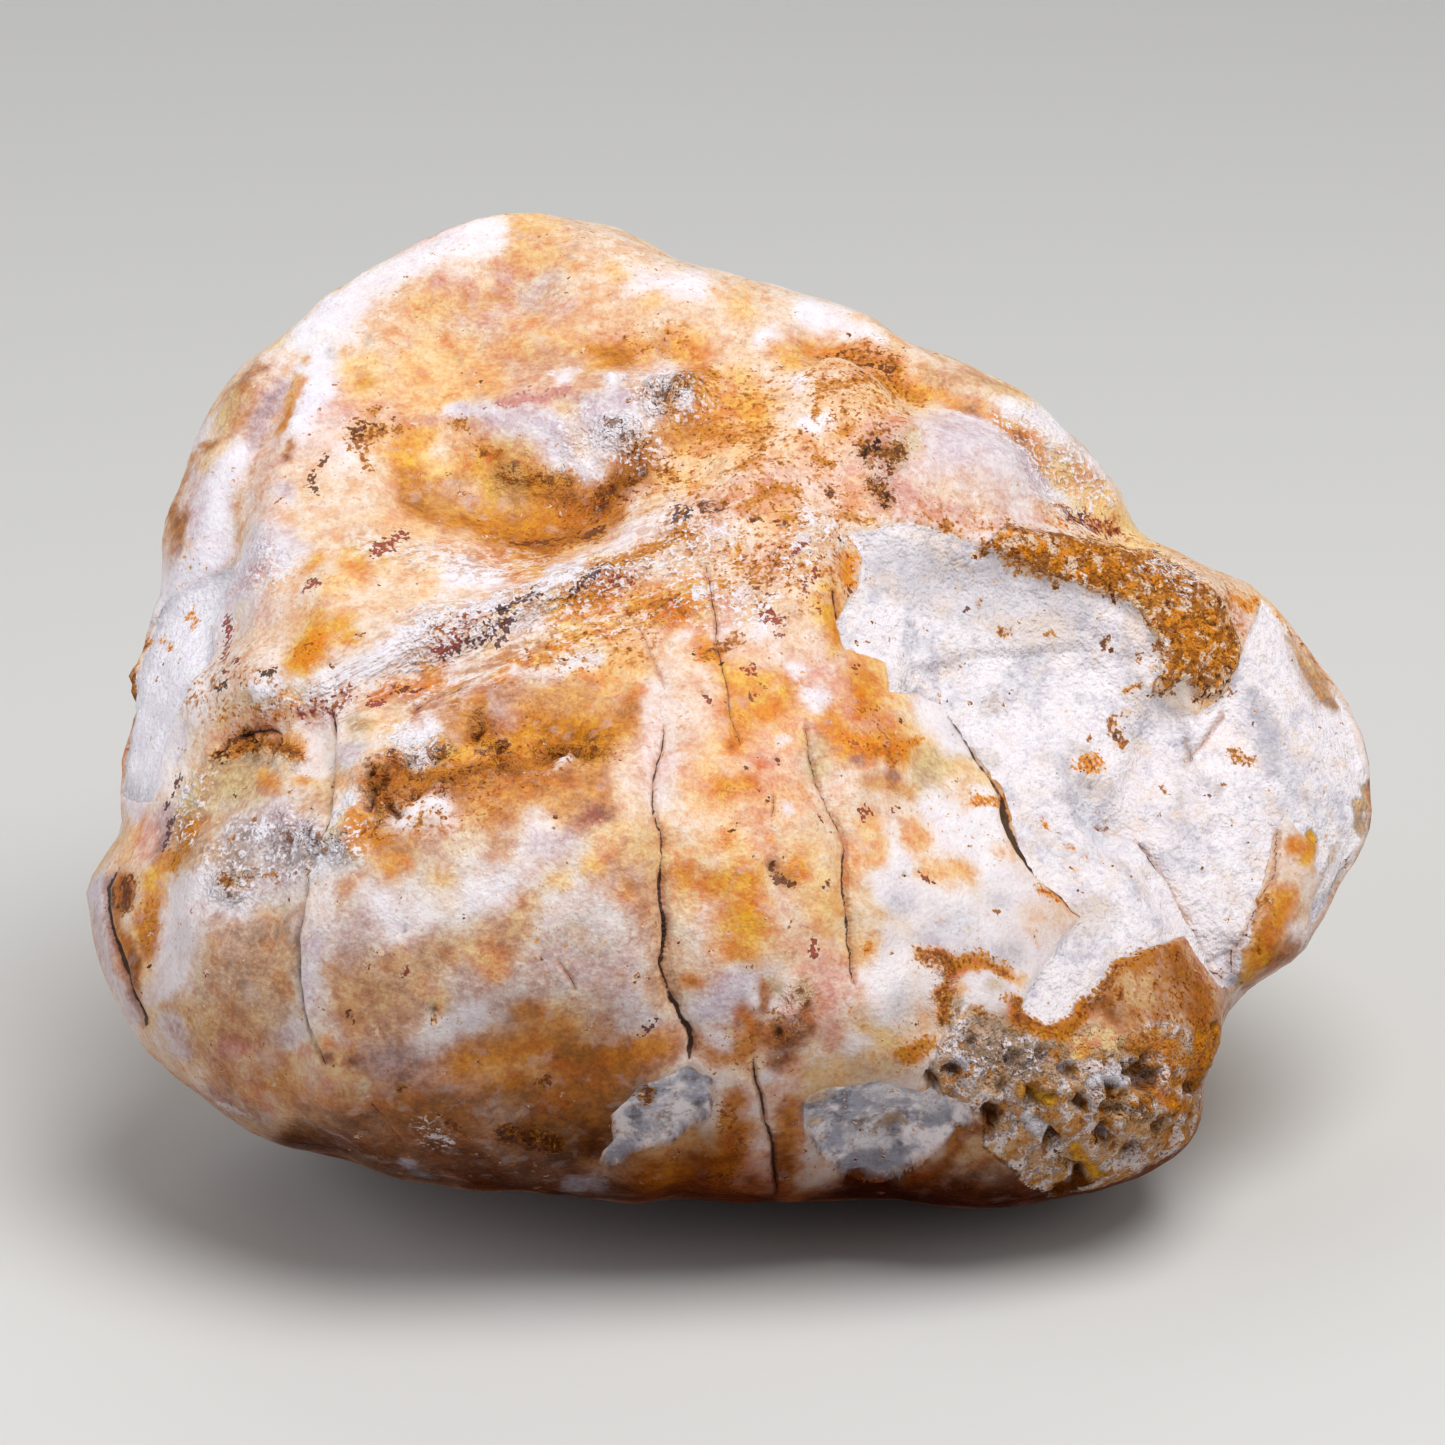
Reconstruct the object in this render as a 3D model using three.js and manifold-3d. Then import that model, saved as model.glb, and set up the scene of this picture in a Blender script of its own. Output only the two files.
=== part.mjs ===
// A rough chalcedony nodule: one lopsided, lobed stone, 64 mm wide, resting on a small flat spot.
//
// The stone is drawn as if it stood upright and faced the front: x runs across it, y up it and
// z out towards the front. It is a rounded body inside an outline, the rim, trimmed by a few
// broad worn faces, with lumps, hollows, ridges and broken patches on its skin. It is then
// leant back and cut off flat where it rests. Millimetres, and +Z is up once it has leant back.
import * as THREE from 'three';
import { mergeVertices } from 'three/addons/utils/BufferGeometryUtils.js';
import { ImprovedNoise } from 'three/addons/math/ImprovedNoise.js';
import Module from 'manifold-3d';

// Driving dimensions.
const THICKNESS = { front: 20, back: 20 };
const FULLNESS = 2.3; // 2 would be an ellipsoid, and more is boxier
const LEAN = THREE.MathUtils.degToRad(20);
const RIM_SLOPE = { across: -0.08, up: -0.34 }; // the rim runs back towards its top and right
const BACK_UPRIGHT = 1.2; // how far the back turns against that slope: 2 would mirror it
const SEAT_HEIGHT = -21.4; // height of the flat spot, from the middle of the rim
const EDGE_SOFTNESS = 4.5; // how rounded the edges of the worn faces are
const RELIEF_FADE = 0.22; // relief of one side dies out this near the rim, as a share of the reach
const UNEVEN = { front: { size: 7, rise: 0.4 }, back: { size: 9, rise: 1.4 } }; // the skin's own waviness
const LEAST_FACING = 0.15; // a worn face turned further away than this trims nothing

// Mesh sizes.
const SKIN_DETAIL = 21;
const RIM_SAMPLES = 1440;
const CUTTER = 100;

// The rim, the nodule's widest outline, anticlockwise from its right-hand tip.
const RIM = [
  [33.1, -3.8], [32.7, -0.9], [31.4, 1.8], [29.4, 4.4], [26.8, 6.8], [24.5, 7.9], [22.5, 8.8],
  [21.1, 9.6], [20.7, 11.2], [19.3, 13.3], [16.6, 15.7], [13.1, 17.9], [9.2, 19.6], [7.9, 20.6],
  [4.0, 21.9], [0.9, 22.8], [-1.5, 23.4], [-3.2, 24.3], [-6.3, 25.5], [-9.9, 26.3], [-12.5, 26.0],
  [-15.0, 25.1], [-17.4, 23.8], [-20.0, 22.0], [-22.9, 19.1], [-24.5, 18.1], [-26.9, 14.6],
  [-28.9, 9.3], [-28.2, 6.1], [-29.9, 1.8], [-29.9, -2.5], [-30.0, -6.6], [-31.3, -7.2],
  [-31.2, -9.2], [-30.6, -11.9], [-29.3, -14.4], [-27.4, -16.7], [-25.2, -18.6], [-22.8, -20.1],
  [-17.6, -21.6], [-12.5, -22.1], [-8.1, -22.5], [-4.0, -23.3], [1.9, -23.5], [8.2, -23.5],
  [13.3, -24.0], [18.4, -23.0], [21.1, -22.1], [23.3, -20.4], [23.8, -17.5], [24.7, -15.1],
  [26.3, -13.4], [28.7, -11.6], [30.5, -9.1], [32.3, -6.6],
];

// Broad worn faces: the way each one looks, and how far it lies from the middle.
const WORN_FACES = [
  { looks: [-0.1, 0.52, 0.85], distance: 15.6 }, // upper slope, with the ochre bowl
  { looks: [0.52, 0.16, 0.84], distance: 18.0 }, // right-hand break
  { looks: [-0.78, 0.22, 0.58], distance: 25.5 }, // left-hand side
  { looks: [0.35, 0.5, -0.79], distance: 19.5 }, // back, upper right
  { looks: [-0.66, 0.1, -0.74], distance: 22.0 }, // back, left
  { looks: [0.55, -0.4, -0.73], distance: 23.0 }, // back, lower right
];

// Lumps (rise above 0) and hollows (below 0): middle, half-sizes, turn in degrees.
const LUMPS = {};
LUMPS.front = [
  { at: [-10.6, 11.1], half: [6.4, 2.8], turn: -6, rise: -1.6 }, // ochre bowl
  { at: [-7.6, 15.6], half: [6.0, 1.7], turn: 6, rise: 1.0 }, // ledge over the bowl
  { at: [-13.0, 19.2], half: [5.0, 3.0], turn: 10, rise: -0.9 }, // upper hollow
  { at: [-8.8, 24.0], half: [5.0, 2.6], turn: 0, rise: 0.6 }, // top hump
  { at: [-13.3, -8.6], half: [9.5, 8.0], turn: 15, rise: 1.5 }, // belly
  { at: [2.2, -5.0], half: [5.5, 12.0], turn: 5, rise: 0.8 }, // middle column
  { at: [15.0, 1.6], half: [8.0, 4.5], turn: -10, rise: -1.0 }, // scooped break
  { at: [21.8, 5.2], half: [4.2, 3.2], turn: -35, rise: 1.2 }, // rusty knob
  { at: [28.4, -1.8], half: [3.6, 7.0], turn: 0, rise: 0.8 }, // right-hand lobe
  { at: [20.5, -15.0], half: [4.0, 3.5], turn: 0, rise: 1.0 }, // porous corner
  { at: [7.9, -19.4], half: [4.2, 1.9], turn: 2, rise: -1.1 }, // long pit
  { at: [-3.0, -18.6], half: [2.2, 1.7], turn: 30, rise: -0.8 }, // chipped pit
  { at: [-25.2, 3.0], half: [2.6, 5.0], turn: 15, rise: -0.6 }, // left-hand break
];
LUMPS.back = [
  { at: [10.0, 8.0], half: [8.0, 6.0], turn: 20, rise: 1.4 },
  { at: [-12.0, 10.0], half: [6.5, 5.0], turn: -30, rise: -1.5 },
  { at: [-16.0, -7.0], half: [7.0, 6.0], turn: 10, rise: 1.3 },
  { at: [16.0, -8.0], half: [6.0, 4.5], turn: 35, rise: -1.0 },
  { at: [2.0, -4.0], half: [7.0, 4.0], turn: -15, rise: 0.8 },
  { at: [-4.0, -15.0], half: [6.0, 3.5], turn: 5, rise: 0.9 },
  { at: [22.0, 3.0], half: [4.0, 5.0], turn: 0, rise: 1.2 },
  { at: [-20.0, 3.0], half: [4.0, 5.0], turn: 20, rise: 1.0 },
  { at: [0.0, 17.0], half: [5.0, 3.0], turn: 0, rise: -0.8 },
];

// Ridges (rise above 0) and grooves (below 0), each along a line, with its half-width.
const LINES = {};
LINES.front = [
  {
    along: [[-24.8, 1.3], [-18.6, 3.2], [-11.5, 5.6], [-4.9, 7.9], [0.2, 10.4], [4.2, 13.6], [6.6, 17.0]],
    half: 1.9, rise: 0.9, // fold across the face
  },
  {
    along: [[-23.0, -0.6], [-18.6, 0.9], [-12.9, 1.9], [-7.7, 2.6], [-3.9, 1.2]],
    half: 1.3, rise: -0.7, // groove under the fold
  },
  { along: [[24.9, 3.7], [24.5, 0.2], [22.7, -2.7]], half: 1.3, rise: -0.8 }, // beside the knob
  { along: [[26.2, -14.6], [24.2, -11.5], [22.4, -8.0], [19.5, -5.2]], half: 1.3, rise: -1.1 }, // notch
  { along: [[-26.9, -11.0], [-26.0, -6.1], [-23.6, -2.7], [-20.3, -0.8]], half: 1.2, rise: -0.6 }, // left
  {
    along: [[5.3, 19.6], [10.3, 16.9], [15.2, 14.6], [18.7, 11.2], [21.5, 7.8]],
    half: 1.2, rise: -1.3, // before the back ridge
  },
  {
    along: [[-20.6, 19.8], [-23.2, 15.2], [-25.0, 10.2], [-26.4, 6.8]],
    half: 1.8, rise: -0.8, // before the back lobe
  },
];
LINES.back = [
  { along: [[-24.0, 2.0], [-14.0, 3.0], [-4.0, 7.0], [6.0, 14.0]], half: 2.6, rise: -1.0 },
  { along: [[-6.0, -16.0], [4.0, -11.0], [14.0, -1.0], [22.0, 2.0]], half: 1.8, rise: 1.0 },
  { along: [[-20.0, -14.0], [-10.0, -12.0], [-3.0, -17.0]], half: 1.5, rise: -0.9 },
];

// Patches of skin standing proud (rise above 0) or broken away (below 0): the outline of each,
// and the width of the step around it.
const PATCHES = {};
PATCHES.front = [
  {
    outline: [
      [5.9, 9.1], [12.3, 8.3], [17.9, 6.6], [21.3, 3.5], [23.5, 1.1], [26.1, 2.1], [27.6, -1.9],
      [28.1, -5.4], [26.6, -10.3], [25.2, -13.2], [23.1, -9.6], [21.1, -6.4], [18.4, -4.6],
      [17.3, -9.0], [15.1, -6.5], [13.9, -3.6], [11.3, 0.1], [8.0, 1.8], [6.0, 3.1], [5.5, 5.5],
    ],
    rise: -0.9, step: 1.9, // white broken face
  },
  {
    outline: [
      [12.3, 8.3], [13.6, 9.6], [16.0, 9.2], [19.6, 8.7], [22.9, 7.3], [24.6, 6.0], [25.6, 2.8],
      [24.7, 1.4], [22.9, 2.1], [21.3, 1.0], [21.4, 3.5], [20.9, 5.1], [17.9, 6.6], [14.7, 7.9],
    ],
    rise: 0.8, step: 1.8, // rusty crust along the top of it
  },
  {
    outline: [
      [-18.3, 0.5], [-18.9, -4.3], [-19.8, -6.7], [-20.5, -12.2], [-18.7, -16.4], [-15.6, -26.0],
      [-4.0, -26.0], [-1.4, -16.3], [-2.7, -11.4], [-2.7, -7.5], [-3.3, -2.4], [-7.8, -1.1],
    ],
    rise: 0.6, step: 1.6, // belly shell, over the shell to its left
  },
];
PATCHES.back = [
  {
    outline: [[-4.0, 12.0], [6.0, 9.0], [13.0, 2.0], [12.0, -7.0], [4.0, -11.0], [-5.0, -4.0], [-8.0, 5.0]],
    rise: -0.9, step: 1.6, // broken face
  },
];

const noise = new ImprovedNoise();

// The rim as a smooth closed curve, and its distance from the middle at any bearing.
function rimReader(points) {
  const corners = points.map(([across, up]) => new THREE.Vector3(across, up, 0));
  const curve = new THREE.CatmullRomCurve3(corners, true, 'centripetal');
  const table = curve.getPoints(RIM_SAMPLES);
  const bearingOf = (point) => Math.atan2(point.y, point.x);
  table.sort((a, b) => bearingOf(a) - bearingOf(b));
  return (bearing) => {
    const next = table.findIndex((point) => bearingOf(point) > bearing);
    if (next < 1) return table[0].length();
    const [before, after] = [table[next - 1], table[next]];
    const share = THREE.MathUtils.mapLinear(bearing, bearingOf(before), bearingOf(after), 0, 1);
    return THREE.MathUtils.lerp(before.length(), after.length(), share);
  };
}

// The lesser of two lengths, with a rounded change from one to the other.
function softMin(a, b, softness) {
  const share = THREE.MathUtils.clamp(0.5 + (0.5 * (b - a)) / softness, 0, 1);
  return THREE.MathUtils.lerp(b, a, share) - softness * share * (1 - share);
}

function lumpRise(lump, spot) {
  const middle = new THREE.Vector2(...lump.at);
  const offset = spot.clone().rotateAround(middle, -THREE.MathUtils.degToRad(lump.turn)).sub(middle);
  return lump.rise * Math.exp(-offset.divide(new THREE.Vector2(...lump.half)).lengthSq());
}

function distanceToSegment(from, to, spot) {
  const step = to.clone().sub(from);
  const share = THREE.MathUtils.clamp(spot.clone().sub(from).dot(step) / step.lengthSq(), 0, 1);
  return spot.distanceTo(step.multiplyScalar(share).add(from));
}

function lineRise(line, spot) {
  const corners = line.along.map((corner) => new THREE.Vector2(...corner));
  const distances = corners.slice(1).map((to, i) => distanceToSegment(corners[i], to, spot));
  return line.rise * Math.exp(-((Math.min(...distances) / line.half) ** 2));
}

// A rise inside an outline, fading over its step at the edge.
function patchRise(patch, spot) {
  let nearest = Infinity;
  let inside = false;
  const corners = patch.outline.map((corner) => new THREE.Vector2(...corner));
  corners.forEach((to, i) => {
    const from = corners.at(i - 1);
    nearest = Math.min(nearest, distanceToSegment(from, to, spot));
    const level = (spot.y - from.y) / (to.y - from.y);
    const crossed = (from.y > spot.y) !== (to.y > spot.y);
    if (crossed && spot.x < THREE.MathUtils.lerp(from.x, to.x, level)) inside = !inside;
  });
  const depth = inside ? nearest : -nearest;
  return patch.rise * THREE.MathUtils.smoothstep(depth, -patch.step / 2, patch.step / 2);
}

// How far the skin lies from the middle, looking along a unit direction.
function reach(direction, rimReach) {
  const side = direction.z > 0 ? 'front' : 'back';
  const flatShare = Math.hypot(direction.x, direction.y) / rimReach(Math.atan2(direction.y, direction.x));
  const outShare = Math.abs(direction.z) / THICKNESS[side];
  let found = (flatShare ** FULLNESS + outShare ** FULLNESS) ** (-1 / FULLNESS);
  for (const face of WORN_FACES) {
    const facing = direction.dot(new THREE.Vector3(...face.looks).normalize());
    if (facing > LEAST_FACING) found = softMin(found, face.distance / facing, EDGE_SOFTNESS);
  }
  const spot = new THREE.Vector2(direction.x, direction.y).multiplyScalar(found);
  const { size, rise } = UNEVEN[side];
  const place = direction.clone().multiplyScalar(found / size);
  let relief = rise * noise.noise(place.x, place.y, place.z);
  for (const lump of LUMPS[side]) relief += lumpRise(lump, spot);
  for (const line of LINES[side]) relief += lineRise(line, spot);
  for (const patch of PATCHES[side]) relief += patchRise(patch, spot);
  return found + relief * THREE.MathUtils.smoothstep(Math.abs(direction.z), 0, RELIEF_FADE);
}

// The rounded body, leaning back, before its seat is cut.
function noduleSkin() {
  const geometry = new THREE.IcosahedronGeometry(1, SKIN_DETAIL);
  const rimReach = rimReader(RIM);
  const place = geometry.getAttribute('position');
  const point = new THREE.Vector3();
  for (let i = 0; i < place.count; i++) {
    point.fromBufferAttribute(place, i).normalize();
    point.multiplyScalar(reach(point, rimReach));
    const turned = 1 - BACK_UPRIGHT * Math.max(0, -point.z / THICKNESS.back);
    const out = point.z + RIM_SLOPE.across * point.x + RIM_SLOPE.up * turned * point.y;
    // Lean back: the top tips away from the front, and the front tips up.
    place.setXYZ(
      i,
      point.x,
      point.y * Math.sin(LEAN) - out * Math.cos(LEAN),
      point.y * Math.cos(LEAN) + out * Math.sin(LEAN),
    );
  }
  return geometry;
}

function toSolid(geometry, wasm) {
  const bare = geometry.clone();
  bare.deleteAttribute('normal');
  bare.deleteAttribute('uv');
  const merged = mergeVertices(bare, 1e-4);
  return new wasm.Manifold(new wasm.Mesh({
    numProp: 3,
    vertProperties: merged.getAttribute('position').array,
    triVerts: new Uint32Array(merged.index.array),
  }));
}

function toGeometry(solid) {
  const { vertProperties, triVerts } = solid.getMesh();
  const geometry = new THREE.BufferGeometry();
  geometry.setAttribute('position', new THREE.BufferAttribute(new Float32Array(vertProperties), 3));
  geometry.setIndex(new THREE.BufferAttribute(new Uint32Array(triVerts), 1));
  return geometry;
}

// The nodule with its seat cut flat, standing on Z = 0 with its box centred on the origin.
function noduleGeometry(wasm) {
  const above = new THREE.BoxGeometry(CUTTER, CUTTER, CUTTER);
  above.translate(0, 0, SEAT_HEIGHT + CUTTER / 2);
  const geometry = toGeometry(toSolid(noduleSkin(), wasm).intersect(toSolid(above, wasm)));
  geometry.computeBoundingBox();
  const middle = geometry.boundingBox.getCenter(new THREE.Vector3());
  geometry.translate(-middle.x, -middle.y, -geometry.boundingBox.min.z);
  geometry.computeVertexNormals();
  return geometry;
}

const wasm = await Module();
wasm.setup();

const chalcedony = new THREE.MeshStandardMaterial({ color: 0xd9c3a8, roughness: 0.55, metalness: 0 });
const nodule = new THREE.Mesh(noduleGeometry(wasm), chalcedony);
nodule.name = 'nodule';

const stone = new THREE.Group();
stone.add(nodule);

export default stone;
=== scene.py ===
"""Looks of a rough chalcedony nodule: one stone with an iron-stained waxy skin, a chalky broken face,
fine cracks and a porous corner.

The stone's skin starts from the CAD solid. It is made finer, most of all near what is fine on it,
and then carved and painted. Marks on it are placed as spots in a square view of the stone from the
front, the back, the left, the right or the top, in pixels from the view's top left.
"""
import math

import bmesh
import bpy
import numpy as np
from bpy.props import FloatProperty, FloatVectorProperty, PointerProperty
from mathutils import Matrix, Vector, noise


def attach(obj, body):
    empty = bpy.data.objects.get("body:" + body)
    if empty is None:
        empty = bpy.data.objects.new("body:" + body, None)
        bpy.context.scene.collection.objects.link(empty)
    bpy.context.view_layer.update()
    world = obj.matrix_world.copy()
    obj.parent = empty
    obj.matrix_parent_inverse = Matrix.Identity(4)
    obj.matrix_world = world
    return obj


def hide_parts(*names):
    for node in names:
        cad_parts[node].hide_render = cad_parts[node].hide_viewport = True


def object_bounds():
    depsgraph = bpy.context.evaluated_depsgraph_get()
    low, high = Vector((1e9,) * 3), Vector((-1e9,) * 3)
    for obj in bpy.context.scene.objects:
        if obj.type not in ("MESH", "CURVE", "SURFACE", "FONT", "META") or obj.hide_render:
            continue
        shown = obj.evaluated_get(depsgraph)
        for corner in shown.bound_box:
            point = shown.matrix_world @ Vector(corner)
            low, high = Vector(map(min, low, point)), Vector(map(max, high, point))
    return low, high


bl_info = {
    "name": "Rough chalcedony",
    "version": (1, 0, 0),
    "blender": (4, 5, 0),
    "location": "View3D > Sidebar > Chalcedony",
    "description": "Carves and paints a rough chalcedony nodule around its CAD solid",
    "category": "Object",
}

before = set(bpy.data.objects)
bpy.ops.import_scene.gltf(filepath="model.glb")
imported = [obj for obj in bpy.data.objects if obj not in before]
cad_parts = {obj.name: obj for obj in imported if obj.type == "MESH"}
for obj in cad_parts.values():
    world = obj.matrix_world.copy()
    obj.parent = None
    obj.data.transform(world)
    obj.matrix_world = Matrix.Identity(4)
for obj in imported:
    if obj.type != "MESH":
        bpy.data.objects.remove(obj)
CAD_BOX = [list(corner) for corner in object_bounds()]

MM = 0.001

# A view's side in pixels, and where its camera stands and what it looks at, in millimetres.
VIEW_SIDE = 1445
VIEW_MIDDLE = VIEW_SIDE / 2
LENS = 150
SENSOR = 36
FOCAL = VIEW_SIDE * LENS / SENSOR
CAMERA_DISTANCE = 299.8
CAMERA_TARGET = (-0.75, 0.0, 22.4)
PX_PER_MM = FOCAL / CAMERA_DISTANCE

# Each view's azimuth and elevation, in degrees.
VIEWS = {
    "front": (0, 20),
    "right": (90, 20),
    "back": (180, 20),
    "left": (270, 20),
    "top": (0, 80),
}


def linear(share):
    """A screen value as a linear one, both 0 to 1."""
    return share / 12.92 if share <= 0.04045 else ((share + 0.055) / 1.055) ** 2.4


# ---------------------------------------------------------------- what a user would change


def length(name, description, millimetres):
    return FloatProperty(name=name, description=description, default=millimetres * MM, unit="LENGTH")


def colour(name, description, red, green, blue):
    """A colour setting, its default given in screen values from 0 to 255."""
    return FloatVectorProperty(
        name=name,
        description=description,
        default=tuple(linear(value / 255) for value in (red, green, blue)),
        subtype="COLOR",
        size=3,
        min=0,
        max=1,
    )


class NoduleSizes(bpy.types.PropertyGroup):
    plain_edge: length("Plain mesh", "Edge length of the mesh where the skin is plain", 0.95)
    front_edge: length("Front mesh", "Edge length of the mesh on the broad front", 0.3)
    fine_edge: length("Fine mesh", "Edge length of the mesh near cracks, ledges and pits", 0.27)
    swell: length("Swell", "Height of the skin's broad waviness", 0.22)
    grain: length("Grain", "Height of the skin's fine waviness", 0.05)
    crack_depth: length("Crack depth", "Depth of a main crack's groove", 0.45)
    vug_depth: length("Vug depth", "Depth of the hollows between the porous corner's walls", 0.66)


class NoduleColours(bpy.types.PropertyGroup):
    cream: colour("Cream", "Plain waxy skin", 238, 210, 184)
    white: colour("White", "White weathered skin", 243, 237, 244)
    pink: colour("Pink", "Pinkish skin", 232, 194, 180)
    rose: colour("Rose", "Rosy skin", 208, 142, 132)
    peach: colour("Peach", "Peach skin", 243, 197, 144)
    butter: colour("Butter", "Yellow cream skin", 246, 210, 144)
    gold: colour("Gold", "Golden iron stain", 229, 161, 42)
    ochre: colour("Ochre", "Mustard iron stain", 199, 127, 14)
    orange: colour("Orange", "Strong orange stain", 229, 140, 18)
    toffee: colour("Toffee", "Light brown skin", 195, 127, 46)
    amber: colour("Amber", "Brown orange stain", 163, 95, 16)
    # brown is also the colour of the painted shade on the underside
    brown: colour("Brown", "Brown skin under the belly", 106, 56, 12)
    rust: colour("Rust", "Dark rusty stain", 108, 54, 12)
    umber: colour("Umber", "Darkest stain", 58, 30, 12)
    plum: colour("Plum", "Purple brown streaks", 92, 46, 54)
    wine: colour("Wine", "Dark red spots", 150, 56, 36)
    lilac: colour("Lilac", "Translucent lilac grey skin", 214, 202, 214)
    mauve: colour("Mauve", "Dusky lilac skin", 186, 158, 162)
    tan: colour("Tan", "Tan skin", 212, 170, 126)
    moss: colour("Moss", "Greenish honey skin", 196, 176, 128)
    grey: colour("Grey", "Grey skin", 174, 168, 166)
    slate: colour("Slate", "Blue grey broken stone", 172, 172, 188)
    fawn: colour("Fawn", "Walls of the porous corner", 192, 160, 134)
    broken: colour("Broken", "Chalky broken face", 246, 238, 242)
    # the crack colour is painted as the shade inside the cracks
    crack: colour("Crack", "Inside of a crack", 46, 26, 14)


class StageColours(bpy.types.PropertyGroup):
    floor: colour("Floor", "The pale floor", 214, 213, 210)


GROUPS = {"nodule_sizes": NoduleSizes, "nodule_colours": NoduleColours, "stage_colours": StageColours}


# ---------------------------------------------------------------- marks, in pixels of a view


def marks(**placed):
    """Marks for every view, none in a view that isn't named."""
    return {view: placed.get(view, []) for view in VIEWS}


# A coat is a colour's name, how strong it is, and its brush strokes. A stroke is its half-width, then the
# places it runs through, across then down. Coats lie over one another in the order given.

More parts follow.
